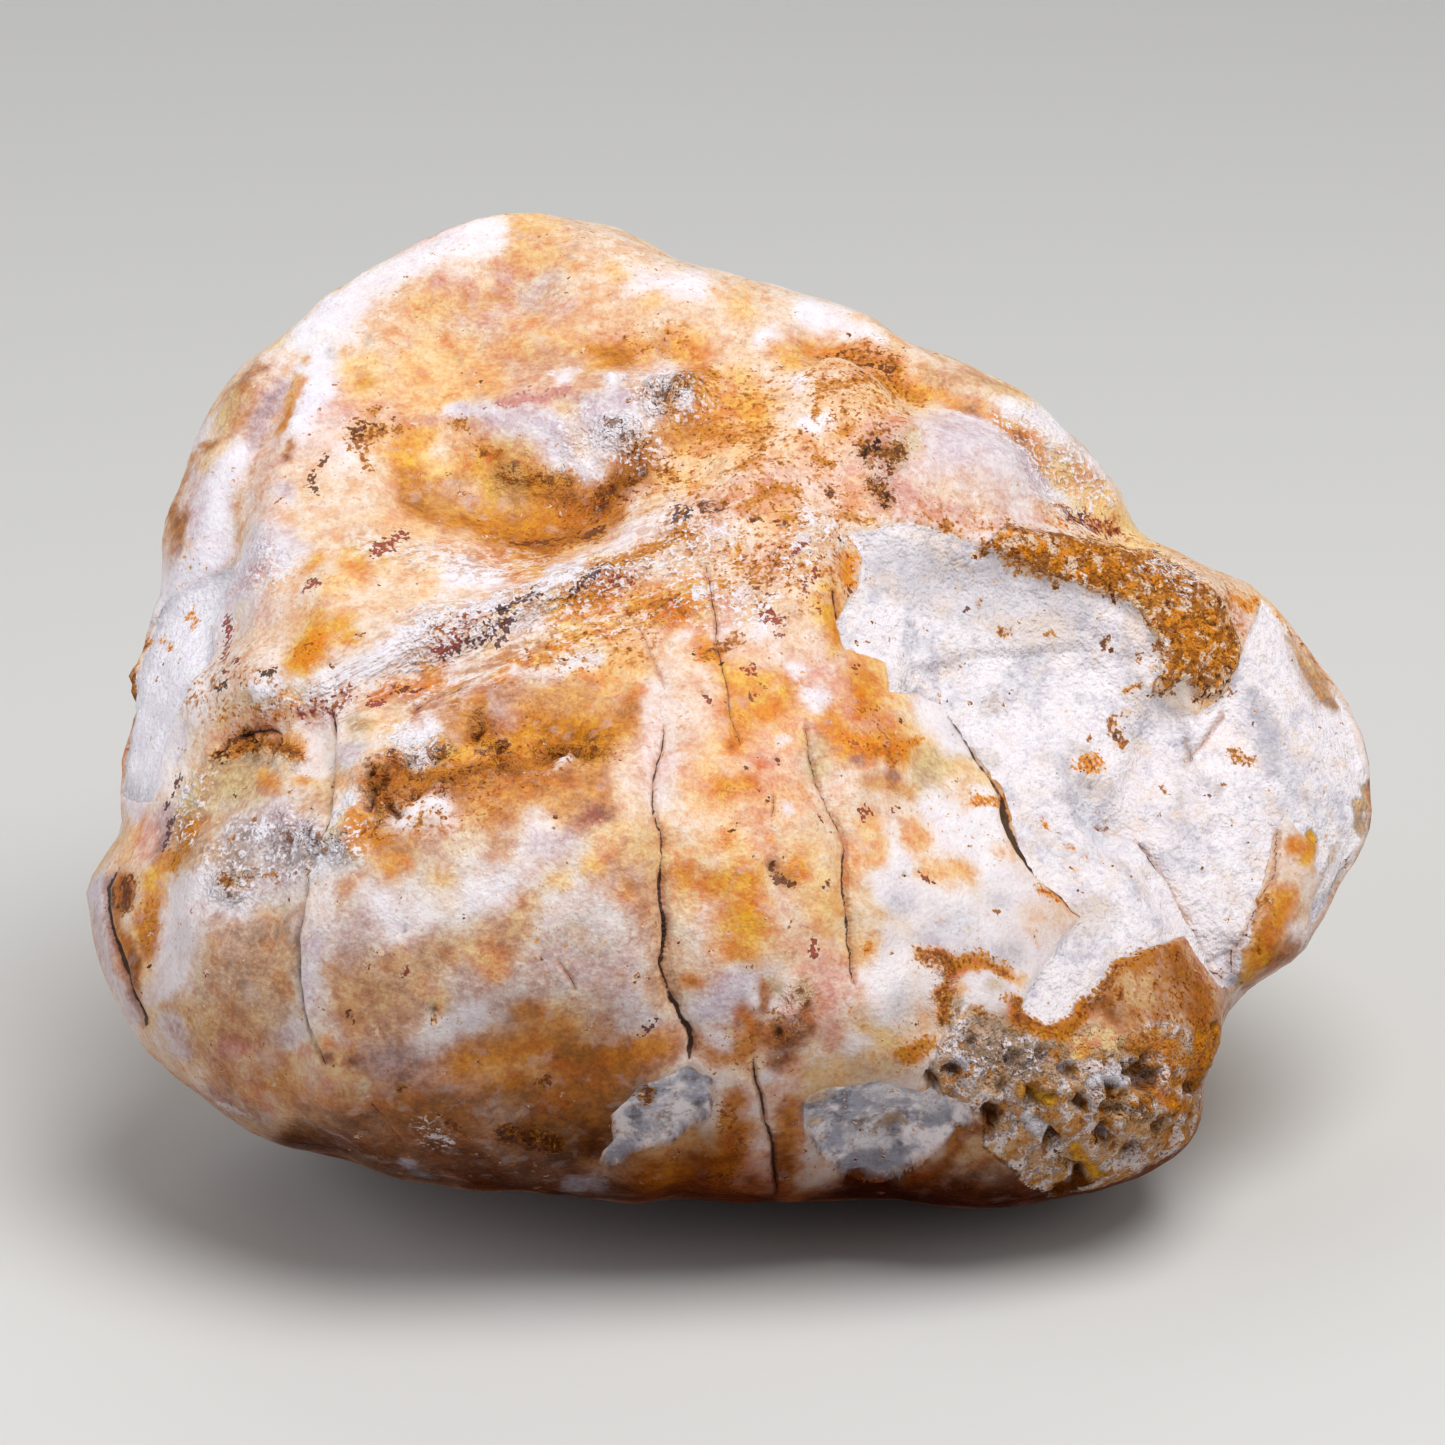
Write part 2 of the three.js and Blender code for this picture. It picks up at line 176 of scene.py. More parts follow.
# Soft washes over the skin.
WASHES = marks(front=[
    # the hump at the top left
    ("tan", 0.6, [(56, 440, 330, 540, 300, 600, 340), (30, 470, 390, 560, 370)]),
    ("peach", 0.55, [(30, 400, 330, 430, 380), (26, 600, 300, 620, 330)]),
    ("cream", 0.85, [
        (24, 590, 290, 600, 250), (26, 600, 240, 650, 280, 720, 300, 790, 330), (18, 470, 262, 420, 275),
        (20, 380, 310, 360, 345),
    ]),
    ("white", 0.95, [
        (17, 492, 232, 440, 250, 395, 268, 360, 290, 340, 325), (12, 335, 300, 305, 335),
        (9, 770, 335, 800, 335), (16, 322, 355, 312, 390, 300, 430), (11, 640, 284, 700, 292),
        (12, 810, 310, 850, 335, 875, 345),
    ]),
    ("butter", 0.8, [
        (22, 430, 375, 490, 385), (16, 470, 345, 440, 345), (10, 350, 365, 375, 365), (9, 412, 365),
        (9, 612, 270), (10, 650, 300), (12, 740, 305), (10, 440, 400),
    ]),
    ("gold", 0.65, [
        (13, 520, 248, 548, 252), (10, 520, 225), (14, 470, 296, 500, 290), (12, 440, 303, 420, 305),
        (7, 570, 235), (12, 540, 322, 520, 322), (13, 562, 335), (10, 525, 347, 500, 350),
        (10, 465, 350, 450, 345), (9, 360, 382), (10, 570, 262), (12, 480, 372, 495, 385),
    ]),
    ("orange", 0.6, [(8, 536, 322), (7, 560, 335), (6, 552, 330)]),
    ("ochre", 0.6, [(9, 500, 288, 470, 295), (8, 460, 352), (7, 362, 382)]),
    ("rose", 0.6, [
        (8, 462, 280, 475, 284), (7, 505, 262, 506, 280), (6, 503, 300), (8, 490, 312), (7, 440, 284),
        (8, 550, 300, 565, 308), (6, 555, 326),
    ]),
    ("mauve", 0.5, [(10, 548, 270, 530, 288), (8, 520, 290)]),
    ("grey", 0.5, [(5, 570, 252), (5, 540, 306), (4, 372, 338), (4, 331, 353)]),
    ("cream", 0.3, [(60, 440, 330, 540, 300, 610, 330)]),
    # the lilac patch and the bowl
    ("pink", 0.5, [(16, 340, 420, 330, 440), (14, 380, 412), (14, 560, 385, 520, 392), (10, 440, 412)]),
    ("lilac", 0.85, [
        (18, 480, 415, 540, 425, 560, 445), (18, 590, 410, 620, 400), (9, 460, 408),
        (12, 540, 455, 520, 445),
    ]),
    ("tan", 0.6, [(16, 650, 420, 665, 400), (10, 570, 410)]),
    ("gold", 0.85, [
        (30, 420, 470, 460, 500, 520, 510), (22, 480, 450, 520, 470), (16, 400, 450, 420, 430),
        (20, 560, 520, 520, 530), (12, 590, 350, 640, 345), (14, 700, 350, 680, 340),
        (26, 700, 400, 740, 420, 690, 430), (14, 790, 345, 830, 345, 860, 358, 890, 372),
    ]),
    ("ochre", 0.9, [
        (14, 420, 500, 470, 512, 520, 515, 570, 510, 610, 500), (18, 520, 480, 560, 480),
        (18, 600, 485, 640, 470), (10, 620, 355, 600, 352), (9, 660, 340), (12, 500, 535, 540, 530),
        (12, 660, 435, 690, 425), (8, 410, 470),
    ]),
    ("white", 0.9, [
        (16, 610, 440, 625, 430), (9, 612, 379), (9, 682, 402), (9, 655, 390, 670, 375), (7, 647, 408),
        (7, 568, 374), (9, 560, 450), (6, 450, 405), (8, 595, 465, 580, 460), (6, 645, 462),
    ]),
    ("rose", 0.55, [(5, 500, 400, 545, 396, 570, 388), (5, 445, 414, 400, 415)]),
    ("butter", 0.8, [(12, 470, 492, 440, 490), (12, 430, 450), (12, 660, 470, 690, 480)]),
    ("cream", 0.8, [(9, 470, 475, 450, 476), (9, 435, 442), (10, 375, 470), (12, 360, 490)]),
    ("moss", 0.45, [(14, 500, 455, 510, 480), (8, 460, 465)]),
    ("toffee", 0.6, [(26, 430, 490, 500, 515, 580, 505), (16, 640, 460, 600, 500)]),
    ("amber", 0.75, [(9, 600, 490, 640, 470), (6, 540, 532, 580, 522), (6, 560, 485)]),
    # the speckled slope, and the glossy slope right of it
    ("cream", 0.7, [
        (24, 800, 400, 820, 430), (30, 740, 540, 700, 570), (24, 790, 600, 760, 640), (20, 850, 390),
    ]),
    ("butter", 0.55, [(24, 700, 470, 740, 450), (20, 800, 460), (18, 880, 400, 920, 395)]),
    ("gold", 0.6, [
        (16, 760, 400, 740, 380), (12, 840, 430), (14, 770, 500, 790, 525), (10, 740, 555),
        (9, 900, 380, 925, 386),
    ]),
    ("white", 0.85, [
        (10, 805, 380), (9, 810, 425, 830, 418), (6, 805, 545, 795, 550), (8, 805, 520), (4, 710, 528),
        (5, 725, 525), (7, 740, 595, 745, 600), (8, 760, 635), (9, 685, 635, 700, 635),
    ]),
    ("pink", 0.6, [(22, 700, 520, 740, 500, 800, 475), (14, 760, 565), (18, 860, 475, 840, 500)]),
    ("lilac", 0.75, [(34, 960, 440, 1000, 470), (14, 1040, 480)]),
    ("cream", 0.5, [(28, 950, 490, 1010, 505)]),
    ("rose", 0.5, [(10, 910, 498), (8, 950, 515, 965, 520), (6, 1035, 492)]),
    ("white", 0.9, [
        (6, 960, 408, 995, 425, 1008, 434), (6, 1060, 485, 1085, 500),
        (7, 1000, 405, 1040, 420, 1070, 450, 1095, 480),
    ]),
    ("tan", 0.8, [(9, 930, 370, 970, 382, 1000, 392), (10, 1060, 455, 1090, 490)]),
    ("gold", 0.95, [
        (6, 955, 395, 980, 406, 1000, 418), (9, 1010, 425, 1035, 440, 1040, 455), (5, 915, 383, 945, 388),
    ]),
    ("butter", 0.8, [(8, 1060, 468, 1100, 505, 1130, 535), (7, 1080, 500)]),
    ("amber", 0.7, [(4, 968, 403, 976, 408), (5, 1018, 430, 1028, 438)]),
    ("moss", 0.65, [(12, 910, 440, 900, 450)]),
    # the lobe behind, at the left, and the chalky face under it
    ("cream", 0.8, [(30, 350, 500, 300, 480, 260, 540), (20, 340, 520)]),
    ("pink", 0.5, [(24, 260, 480, 250, 430, 280, 380), (16, 270, 520)]),
    ("tan", 0.85, [
        (8, 192, 460, 180, 500, 176, 540, 174, 575), (12, 240, 395, 230, 420), (8, 230, 560, 215, 580),
        (6, 232, 500, 228, 530), (5, 245, 470),
    ]),
    ("white", 0.95, [
        (11, 236, 445, 225, 480, 212, 530, 205, 560), (13, 308, 380, 300, 430), (14, 250, 560, 240, 590),
        (9, 275, 560), (10, 190, 560, 186, 590),
    ]),
    ("lilac", 0.7, [(14, 260, 545, 290, 540), (9, 205, 480, 200, 530), (10, 285, 500)]),
    ("mauve", 0.85, [(9, 280, 385, 262, 410, 250, 430), (5, 252, 440)]),
    ("amber", 0.75, [
        (6, 262, 370, 240, 388), (5, 205, 446, 210, 444), (5, 183, 515, 178, 545, 174, 565),
        (4, 290, 450, 286, 462),
    ]),
    ("gold", 0.85, [
        (6, 300, 380, 285, 410, 278, 430), (5, 310, 360), (12, 350, 558, 362, 568), (6, 314, 555, 308, 565),
    ]),
    ("ochre", 0.8, [(5, 285, 415, 280, 428)]),
    ("butter", 0.75, [(12, 330, 588, 350, 582), (10, 345, 550)]),
    # the fold under the bowl
    ("peach", 0.6, [
        (14, 400, 520, 440, 545, 500, 560), (12, 400, 570, 430, 580), (10, 290, 700, 260, 712),
    ]),
    ("tan", 0.55, [
        (24, 230, 640, 250, 680, 220, 700), (18, 250, 710, 200, 740), (16, 400, 690, 460, 670, 520, 655),
    ]),
    ("cream", 0.7, [(18, 255, 630, 290, 640), (22, 390, 600, 360, 640), (14, 420, 560, 400, 600)]),
    ("white", 0.9, [
        (8, 500, 600, 440, 630, 400, 650, 350, 675), (9, 460, 575, 500, 570),
        (10, 540, 580, 560, 570, 580, 560), (5, 590, 575, 620, 566), (9, 520, 630, 535, 620),
        (9, 270, 682, 260, 690), (5, 280, 665), (6, 550, 560),
    ]),
    ("rose", 0.55, [
        (9, 320, 712, 300, 715), (6, 350, 695), (10, 240, 590, 260, 570), (10, 600, 590, 640, 580),
    ]),
    ("gold", 0.9, [
        (17, 320, 630, 300, 655), (10, 345, 625, 350, 640), (8, 290, 665, 310, 670),
        (8, 440, 655, 430, 665), (10, 230, 740, 280, 738), (9, 385, 690, 420, 682),
        (14, 560, 610, 600, 600), (20, 640, 605, 690, 605), (8, 560, 645, 590, 635),
        (10, 520, 668, 550, 665), (8, 510, 685, 505, 680), (9, 600, 560, 650, 545),
    ]),
    ("orange", 0.8, [
        (12, 318, 638, 300, 650), (6, 305, 660), (6, 395, 690, 420, 684, 440, 676), (6, 560, 647, 590, 637),
        (5, 500, 682, 515, 686), (5, 458, 684), (6, 640, 690, 625, 700), (10, 660, 605, 680, 615),
    ]),
    ("butter", 0.85, [(12, 600, 670, 640, 665), (9, 540, 678, 600, 682), (14, 620, 640, 600, 630)]),
    ("white", 0.8, [
        (7, 478, 690, 470, 695), (6, 560, 680, 520, 678), (8, 600, 660, 565, 668), (6, 440, 710),
        (5, 420, 705),
    ]),
    # the shell at the left of the belly
    ("moss", 0.75, [
        (24, 230, 780, 250, 765), (14, 200, 810, 190, 830), (10, 350, 745, 340, 760), (9, 360, 720),
    ]),
    ("mauve", 0.8, [(8, 168, 815, 155, 860), (6, 185, 730, 180, 760)]),
    ("peach", 0.8, [(9, 165, 780, 155, 800), (9, 130, 830, 122, 860)]),
    ("gold", 0.9, [
        (13, 158, 895, 148, 940), (9, 165, 860, 155, 880), (7, 205, 825, 185, 850), (8, 262, 775, 275, 790),
        (7, 300, 772), (6, 225, 822, 240, 812),
    ]),
    ("ochre", 0.95, [(10, 118, 880, 112, 920, 122, 960, 138, 1000), (10, 150, 925, 150, 945)]),
    ("amber", 0.9, [(8, 128, 888, 126, 905), (5, 124, 940, 134, 980)]),
    ("fawn", 0.6, [(50, 240, 930, 250, 1020), (40, 260, 850, 220, 860)]),
    ("lilac", 0.75, [
        (24, 250, 830, 290, 820, 230, 900), (12, 345, 755, 350, 750),
        (12, 92, 880, 92, 930, 105, 980, 130, 1015),
    ]),
    ("white", 0.9, [
        (18, 190, 890, 180, 940, 165, 985), (14, 235, 905, 210, 880), (12, 330, 860, 350, 840),
        (8, 345, 795, 335, 810),
    ]),
    ("fawn", 0.85, [(22, 262, 940, 255, 1000), (14, 215, 975, 212, 992)]),
    ("tan", 0.5, [(14, 265, 955, 262, 985)]),
    ("tan", 0.8, [(20, 215, 1030, 230, 1050), (14, 180, 1010, 190, 1040), (14, 240, 1020)]),
    ("lilac", 0.7, [(14, 310, 950, 305, 1000), (12, 285, 1035), (8, 165, 1020, 180, 1050)]),
    ("rose", 0.8, [(9, 222, 1048, 235, 1052), (6, 300, 1055)]),
    ("toffee", 0.65, [(20, 270, 1080, 300, 1098, 350, 1120), (14, 220, 1078)]),
    ("mauve", 0.7, [(16, 370, 1060, 430, 1068, 460, 1080)]),
    ("mauve", 0.6, [(9, 205, 1092, 260, 1122)]),
    ("grey", 0.5, [(20, 250, 840, 300, 860, 330, 840), (12, 345, 870, 355, 850), (10, 200, 840)]),
    ("tan", 0.6, [(10, 230, 880, 240, 870), (10, 300, 800, 320, 770)]),
    # the pitted band
    ("toffee", 0.8, [(22, 480, 712, 560, 708, 620, 715), (20, 500, 812, 560, 802, 600, 790)]),
    ("gold", 0.9, [(20, 450, 745, 540, 735, 600, 742), (14, 360, 815, 370, 845), (12, 400, 860, 385, 870)]),
    ("ochre", 0.95, [
        (18, 430, 780, 480, 775, 540, 765), (14, 400, 765, 390, 800), (14, 565, 745, 600, 750),
        (8, 345, 895, 370, 880), (9, 480, 725, 540, 722, 600, 726), (10, 370, 780, 385, 815),
    ]),
    ("toffee", 0.7, [
        (12, 420, 720, 470, 712), (14, 470, 800, 540, 790, 590, 770), (10, 620, 720, 632, 740),
    ]),
    ("mauve", 0.6, [(12, 505, 715), (12, 345, 745)]),
    ("white", 0.95, [
        (8, 400, 738, 425, 722), (10, 423, 752), (14, 440, 805, 405, 822), (4, 560, 769, 568, 764),
        (4, 494, 775),
    ]),
    ("cream", 0.8, [(14, 622, 760, 632, 800)]),
    ("pink", 0.65, [(18, 665, 740, 645, 775), (16, 690, 700)]),
    # the belly
    ("fawn", 0.75, [(60, 420, 900, 620, 930), (60, 400, 990, 640, 1000)]),
    ("mauve", 0.6, [(30, 440, 1040, 400, 1060), (24, 560, 940, 600, 980), (24, 360, 940, 370, 900)]),
    ("toffee", 0.4, [
        (26, 620, 880, 640, 930, 640, 980), (24, 350, 980, 380, 1020), (22, 470, 900, 500, 930),
    ]),
    ("white", 0.7, [
        (28, 430, 905, 520, 880, 600, 915), (18, 400, 930, 380, 905), (14, 470, 1020, 430, 1035),
        (14, 540, 830),
    ]),
    ("lilac", 0.65, [
        (30, 480, 995, 560, 960, 620, 960), (20, 620, 1010, 655, 1035), (12, 560, 845, 540, 850),
    ]),
    ("butter", 0.85, [(14, 445, 905, 442, 885), (10, 590, 868), (10, 560, 880)]),
    ("gold", 0.8, [(8, 590, 868), (10, 390, 870), (9, 625, 890)]),
    ("tan", 0.8, [
        (14, 535, 900, 522, 915), (18, 650, 840, 655, 875), (16, 350, 980, 360, 1000), (16, 500, 848),
    ]),
    ("grey", 0.45, [(12, 600, 950, 575, 930), (8, 355, 868), (6, 595, 905), (10, 560, 985)]),
    ("orange", 0.75, [(13, 492, 965), (6, 437, 1008), (6, 325, 1040), (5, 402, 868)]),
    ("peach", 0.6, [(14, 480, 950), (9, 420, 985, 435, 1000), (12, 600, 850)]),
    ("wine", 0.8, [(8, 578, 830, 592, 817)]),
    ("wine", 0.6, [(9, 600, 815, 608, 812)]),
    ("toffee", 0.7, [(14, 345, 1020), (12, 530, 1012)]),
    ("wine", 0.8, [(7, 352, 1062), (6, 326, 1060)]),
    ("ochre", 0.95, [
        (14, 530, 1015, 565, 1032), (17, 470, 1062, 520, 1050, 600, 1058, 662, 1045),
        (12, 500, 1090, 520, 1085),
    ]),
    # the amber, brown and ochre coats below darken the foot: brown stain deepened with painted shade
    ("amber", 0.8, [(13, 560, 1064, 625, 1056), (14, 570, 1085, 620, 1080)]),
    ("amber", 0.85, [(24, 400, 1112, 460, 1115), (22, 540, 1110, 600, 1100), (16, 640, 1080)]),
    ("amber", 0.7, [(12, 470, 1140, 440, 1150), (12, 600, 1110, 590, 1140)]),
    ("brown", 0.9, [
        (26, 840, 1210, 1000, 1200, 1100, 1190), (16, 860, 1195, 960, 1195), (16, 480, 1190, 760, 1200),
    ]),
    ("brown", 0.8, [
        (24, 380, 1160, 480, 1165, 560, 1165), (12, 520, 1135), (14, 300, 1145, 340, 1150),
        (9, 610, 1110, 600, 1150),
    ]),
    ("brown", 0.6, [(40, 380, 1140, 480, 1140, 600, 1130), (16, 300, 1130, 350, 1140)]),
    ("slate", 0.8, [(5, 562, 1186, 600, 1187), (4, 400, 1166, 425, 1174)]),
    ("tan", 0.28, [(56, 420, 900, 620, 920), (50, 400, 990, 560, 1000)]),
    ("ochre", 0.35, [(34, 400, 1110, 500, 1090, 600, 1085)]),
    ("fawn", 0.25, [(50, 230, 800, 230, 960)]),
    ("white", 0.6, [(16, 430, 915, 500, 890), (10, 450, 1025, 480, 1015), (9, 380, 905, 400, 925)]),
    # the column between the cracks, and the glossy slope above the broken face
    ("lilac", 0.3, [(44, 970, 450, 1020, 500)]),
    ("peach", 0.6, [
        (26, 700, 800, 780, 800), (16, 690, 660), (16, 800, 720, 790, 745), (14, 860, 870, 870, 840),
    ]),
    ("cream", 0.7, [
        (22, 690, 690, 690, 730), (22, 800, 930, 790, 960), (14, 800, 640), (20, 860, 900, 862, 930),
    ]),
    ("butter", 0.6, [(22, 825, 900, 805, 860), (16, 690, 900)]),
    ("gold", 0.9, [
        (22, 740, 680, 780, 690, 740, 715), (18, 860, 680, 875, 700), (16, 830, 715, 850, 745),
        (12, 825, 605, 838, 640), (13, 870, 550, 845, 580), (14, 720, 790, 738, 788),
        (14, 740, 880, 715, 885), (20, 745, 915, 740, 950), (12, 685, 868, 690, 880),
        (16, 860, 745, 905, 748), (10, 700, 640, 720, 660), (9, 735, 740), (12, 790, 870),
    ]),
    ("orange", 0.75, [
        (10, 770, 705), (8, 727, 746), (9, 893, 722), (7, 700, 655, 716, 650), (8, 729, 842), (8, 862, 690),
        (7, 860, 707), (9, 850, 735, 885, 752), (6, 768, 846), (8, 692, 975), (7, 800, 880), (5, 873, 952),
        (10, 745, 905), (5, 757, 765),
    ]),
    ("amber", 0.65, [(6, 770, 868, 785, 882), (5, 692, 975), (4, 728, 745)]),
    ("white", 0.95, [(10, 818, 700, 816, 696), (6, 800, 672, 790, 665), (6, 786, 745), (8, 785, 810)]),
    ("moss", 0.7, [(12, 820, 750, 825, 772), (15, 940, 762, 930, 778), (8, 775, 985), (8, 805, 985)]),
    ("wine", 0.7, [(8, 893, 775, 890, 780)]),
    ("mauve", 0.8, [(6, 857, 757)]),
    ("ochre", 0.7, [(10, 870, 785, 905, 792), (8, 960, 748)]),
    ("lilac", 0.85, [(16, 740, 985, 705, 1010), (9, 790, 1045)]),
    ("amber", 0.9, [
        (5, 765, 985, 763, 1005), (5, 808, 998, 803, 1012, 810, 1026), (15, 755, 1028, 790, 1032),
        (10, 785, 1062),
    ]),
    ("ochre", 0.9, [(16, 740, 1045, 720, 1050), (9, 745, 1015)]),
    ("rose", 0.65, [(13, 830, 1010, 832, 1040)]),
    ("butter", 0.9, [(9, 870, 1030, 895, 1042)]),
    ("white", 0.7, [(12, 858, 1048), (8, 720, 1040), (8, 772, 1078)]),
    ("tan", 0.75, [(14, 870, 1068, 900, 1060)]),
    ("ochre", 0.95, [(18, 650, 1178, 720, 1165, 740, 1130), (14, 740, 1100), (12, 790, 1120, 790, 1160)]),
    ("amber", 0.85, [(14, 700, 1190, 760, 1190), (10, 730, 1150), (9, 780, 1150, 785, 1180)]),
    ("orange", 0.12, [(56, 740, 640, 755, 800, 745, 920)]),
    # the white skin right of the column
    ("broken", 0.95, [
        (26, 905, 850, 930, 900, 985, 950), (22, 895, 950, 885, 1000), (24, 950, 830, 1000, 880, 1040, 930),
        (14, 925, 700, 960, 740), (12, 985, 800, 1000, 840), (24, 1000, 990, 1040, 960),
        (16, 1050, 900, 1075, 925), (20, 940, 940, 980, 985), (16, 900, 900, 890, 880),
        (14, 935, 810, 970, 815), (26, 1010, 900, 1050, 940), (20, 1030, 960, 1010, 990),
        (12, 1075, 925, 1050, 960),
    ]),
    ("slate", 0.4, [
        (12, 930, 940, 960, 920), (12, 900, 1000), (10, 960, 960, 1010, 950), (12, 905, 905),
        (10, 1000, 900),
    ]),
    ("peach", 0.5, [(7, 1055, 893, 1075, 908), (8, 1000, 845), (8, 960, 800)]),
    ("peach", 0.95, [
        (11, 870, 828, 880, 855), (13, 912, 833, 925, 843), (13, 930, 872, 965, 878), (14, 868, 950),
    ]),
    ("orange", 0.4, [(8, 925, 838), (8, 960, 872)]),
    # the lobe at the right
    ("white", 0.85, [(40, 1290, 680, 1325, 760, 1335, 840)]),
    ("peach", 0.7, [(9, 1240, 600), (6, 1340, 860, 1330, 880), (8, 1350, 760), (5, 1368, 800)]),
    ("amber", 0.55, [(5, 1305, 660, 1325, 690, 1336, 704), (4, 1345, 725, 1350, 738)]),
    ("gold", 0.95, [(6, 1295, 840), (7, 1313, 832, 1308, 858), (9, 1286, 905, 1276, 940, 1262, 970)]),
    ("amber", 0.9, [(7, 1292, 945, 1270, 975, 1250, 990)]),
], back=[
    ("pink", 0.6, [(80, 450, 800, 650, 700), (50, 950, 900, 1050, 800)]),
    ("butter", 0.7, [(50, 800, 500, 950, 560), (40, 300, 800, 380, 900)]),
    ("white", 0.8, [(40, 600, 520, 760, 470), (36, 1100, 620, 1180, 720), (40, 560, 950, 700, 1000)]),
    ("lilac", 0.8, [(50, 820, 760, 700, 860), (36, 1050, 980, 950, 1030)]),
    ("gold", 0.85, [
        (36, 420, 620, 600, 640), (40, 900, 800, 1020, 700), (30, 700, 600, 840, 560),
        (30, 380, 900, 520, 1000),
    ]),
    ("ochre", 0.85, [
        (24, 760, 590, 820, 610), (24, 470, 960, 540, 990), (40, 640, 1100, 800, 1110),
        (30, 960, 1060, 1060, 1020),
    ]),
    ("amber", 0.8, [(20, 1000, 740, 1040, 720), (26, 500, 1120, 760, 1160), (14, 860, 840, 880, 900)]),
    ("moss", 0.6, [(40, 480, 720, 440, 760), (30, 880, 640)]),
    ("rose", 0.5, [(30, 620, 780, 700, 760), (24, 860, 980)]),
    ("brown", 0.7, [(40, 560, 1180, 900, 1190)]),
    ("white", 0.8, [(26, 480, 800, 540, 840), (22, 820, 680, 900, 660), (18, 1100, 860, 1060, 920)]),
    ("peach", 0.8, [(30, 600, 880, 680, 940), (26, 1000, 880, 940, 940), (24, 520, 700, 580, 720)]),
    ("toffee", 0.7, [(18, 700, 720, 740, 740), (16, 1080, 760, 1120, 800), (20, 420, 880, 460, 920)]),
], left=[
    ("white", 0.8, [(50, 620, 560, 560, 700), (30, 800, 900, 900, 860)]),
    ("butter", 0.7, [(40, 760, 600, 820, 700)]),
    ("gold", 0.85, [(30, 820, 860, 760, 960), (24, 700, 560, 740, 640)]),
    ("ochre", 0.85, [(20, 640, 880, 700, 930)]),
    ("amber", 0.8, [(24, 560, 1000, 700, 1080)]),
    ("lilac", 0.7, [(36, 680, 760, 640, 820)]),
    ("peach", 0.8, [(26, 740, 760, 800, 800), (22, 600, 900, 560, 940)]),
    ("toffee", 0.7, [(16, 840, 760, 860, 820), (14, 700, 860, 740, 880)]),
], right=[
    ("white", 0.8, [(60, 560, 780, 640, 700), (36, 800, 640, 860, 720)]),
    ("pink", 0.6, [(60, 760, 850, 860, 900)]),
    ("gold", 0.85, [(34, 700, 760, 780, 820), (26, 860, 700, 900, 780)]),
    ("ochre", 0.85, [(26, 700, 920, 820, 970), (20, 640, 960, 700, 990)]),
    ("amber", 0.8, [(26, 760, 1090, 900, 1070)]),
    ("lilac", 0.7, [(36, 740, 640, 700, 700)]),
    ("peach", 0.8, [(30, 640, 820, 700, 860), (24, 880, 860, 840, 960), (22, 760, 560, 800, 600)]),
    ("white", 0.8, [(24, 720, 900, 780, 880), (22, 900, 960, 860, 1010), (18, 680, 600, 700, 660)]),
    ("toffee", 0.75, [(20, 620, 760, 660, 780), (18, 820, 820, 860, 800), (16, 760, 1010, 820, 1020)]),
    ("rose", 0.5, [(24, 700, 820, 740, 860), (20, 820, 720)]),
])

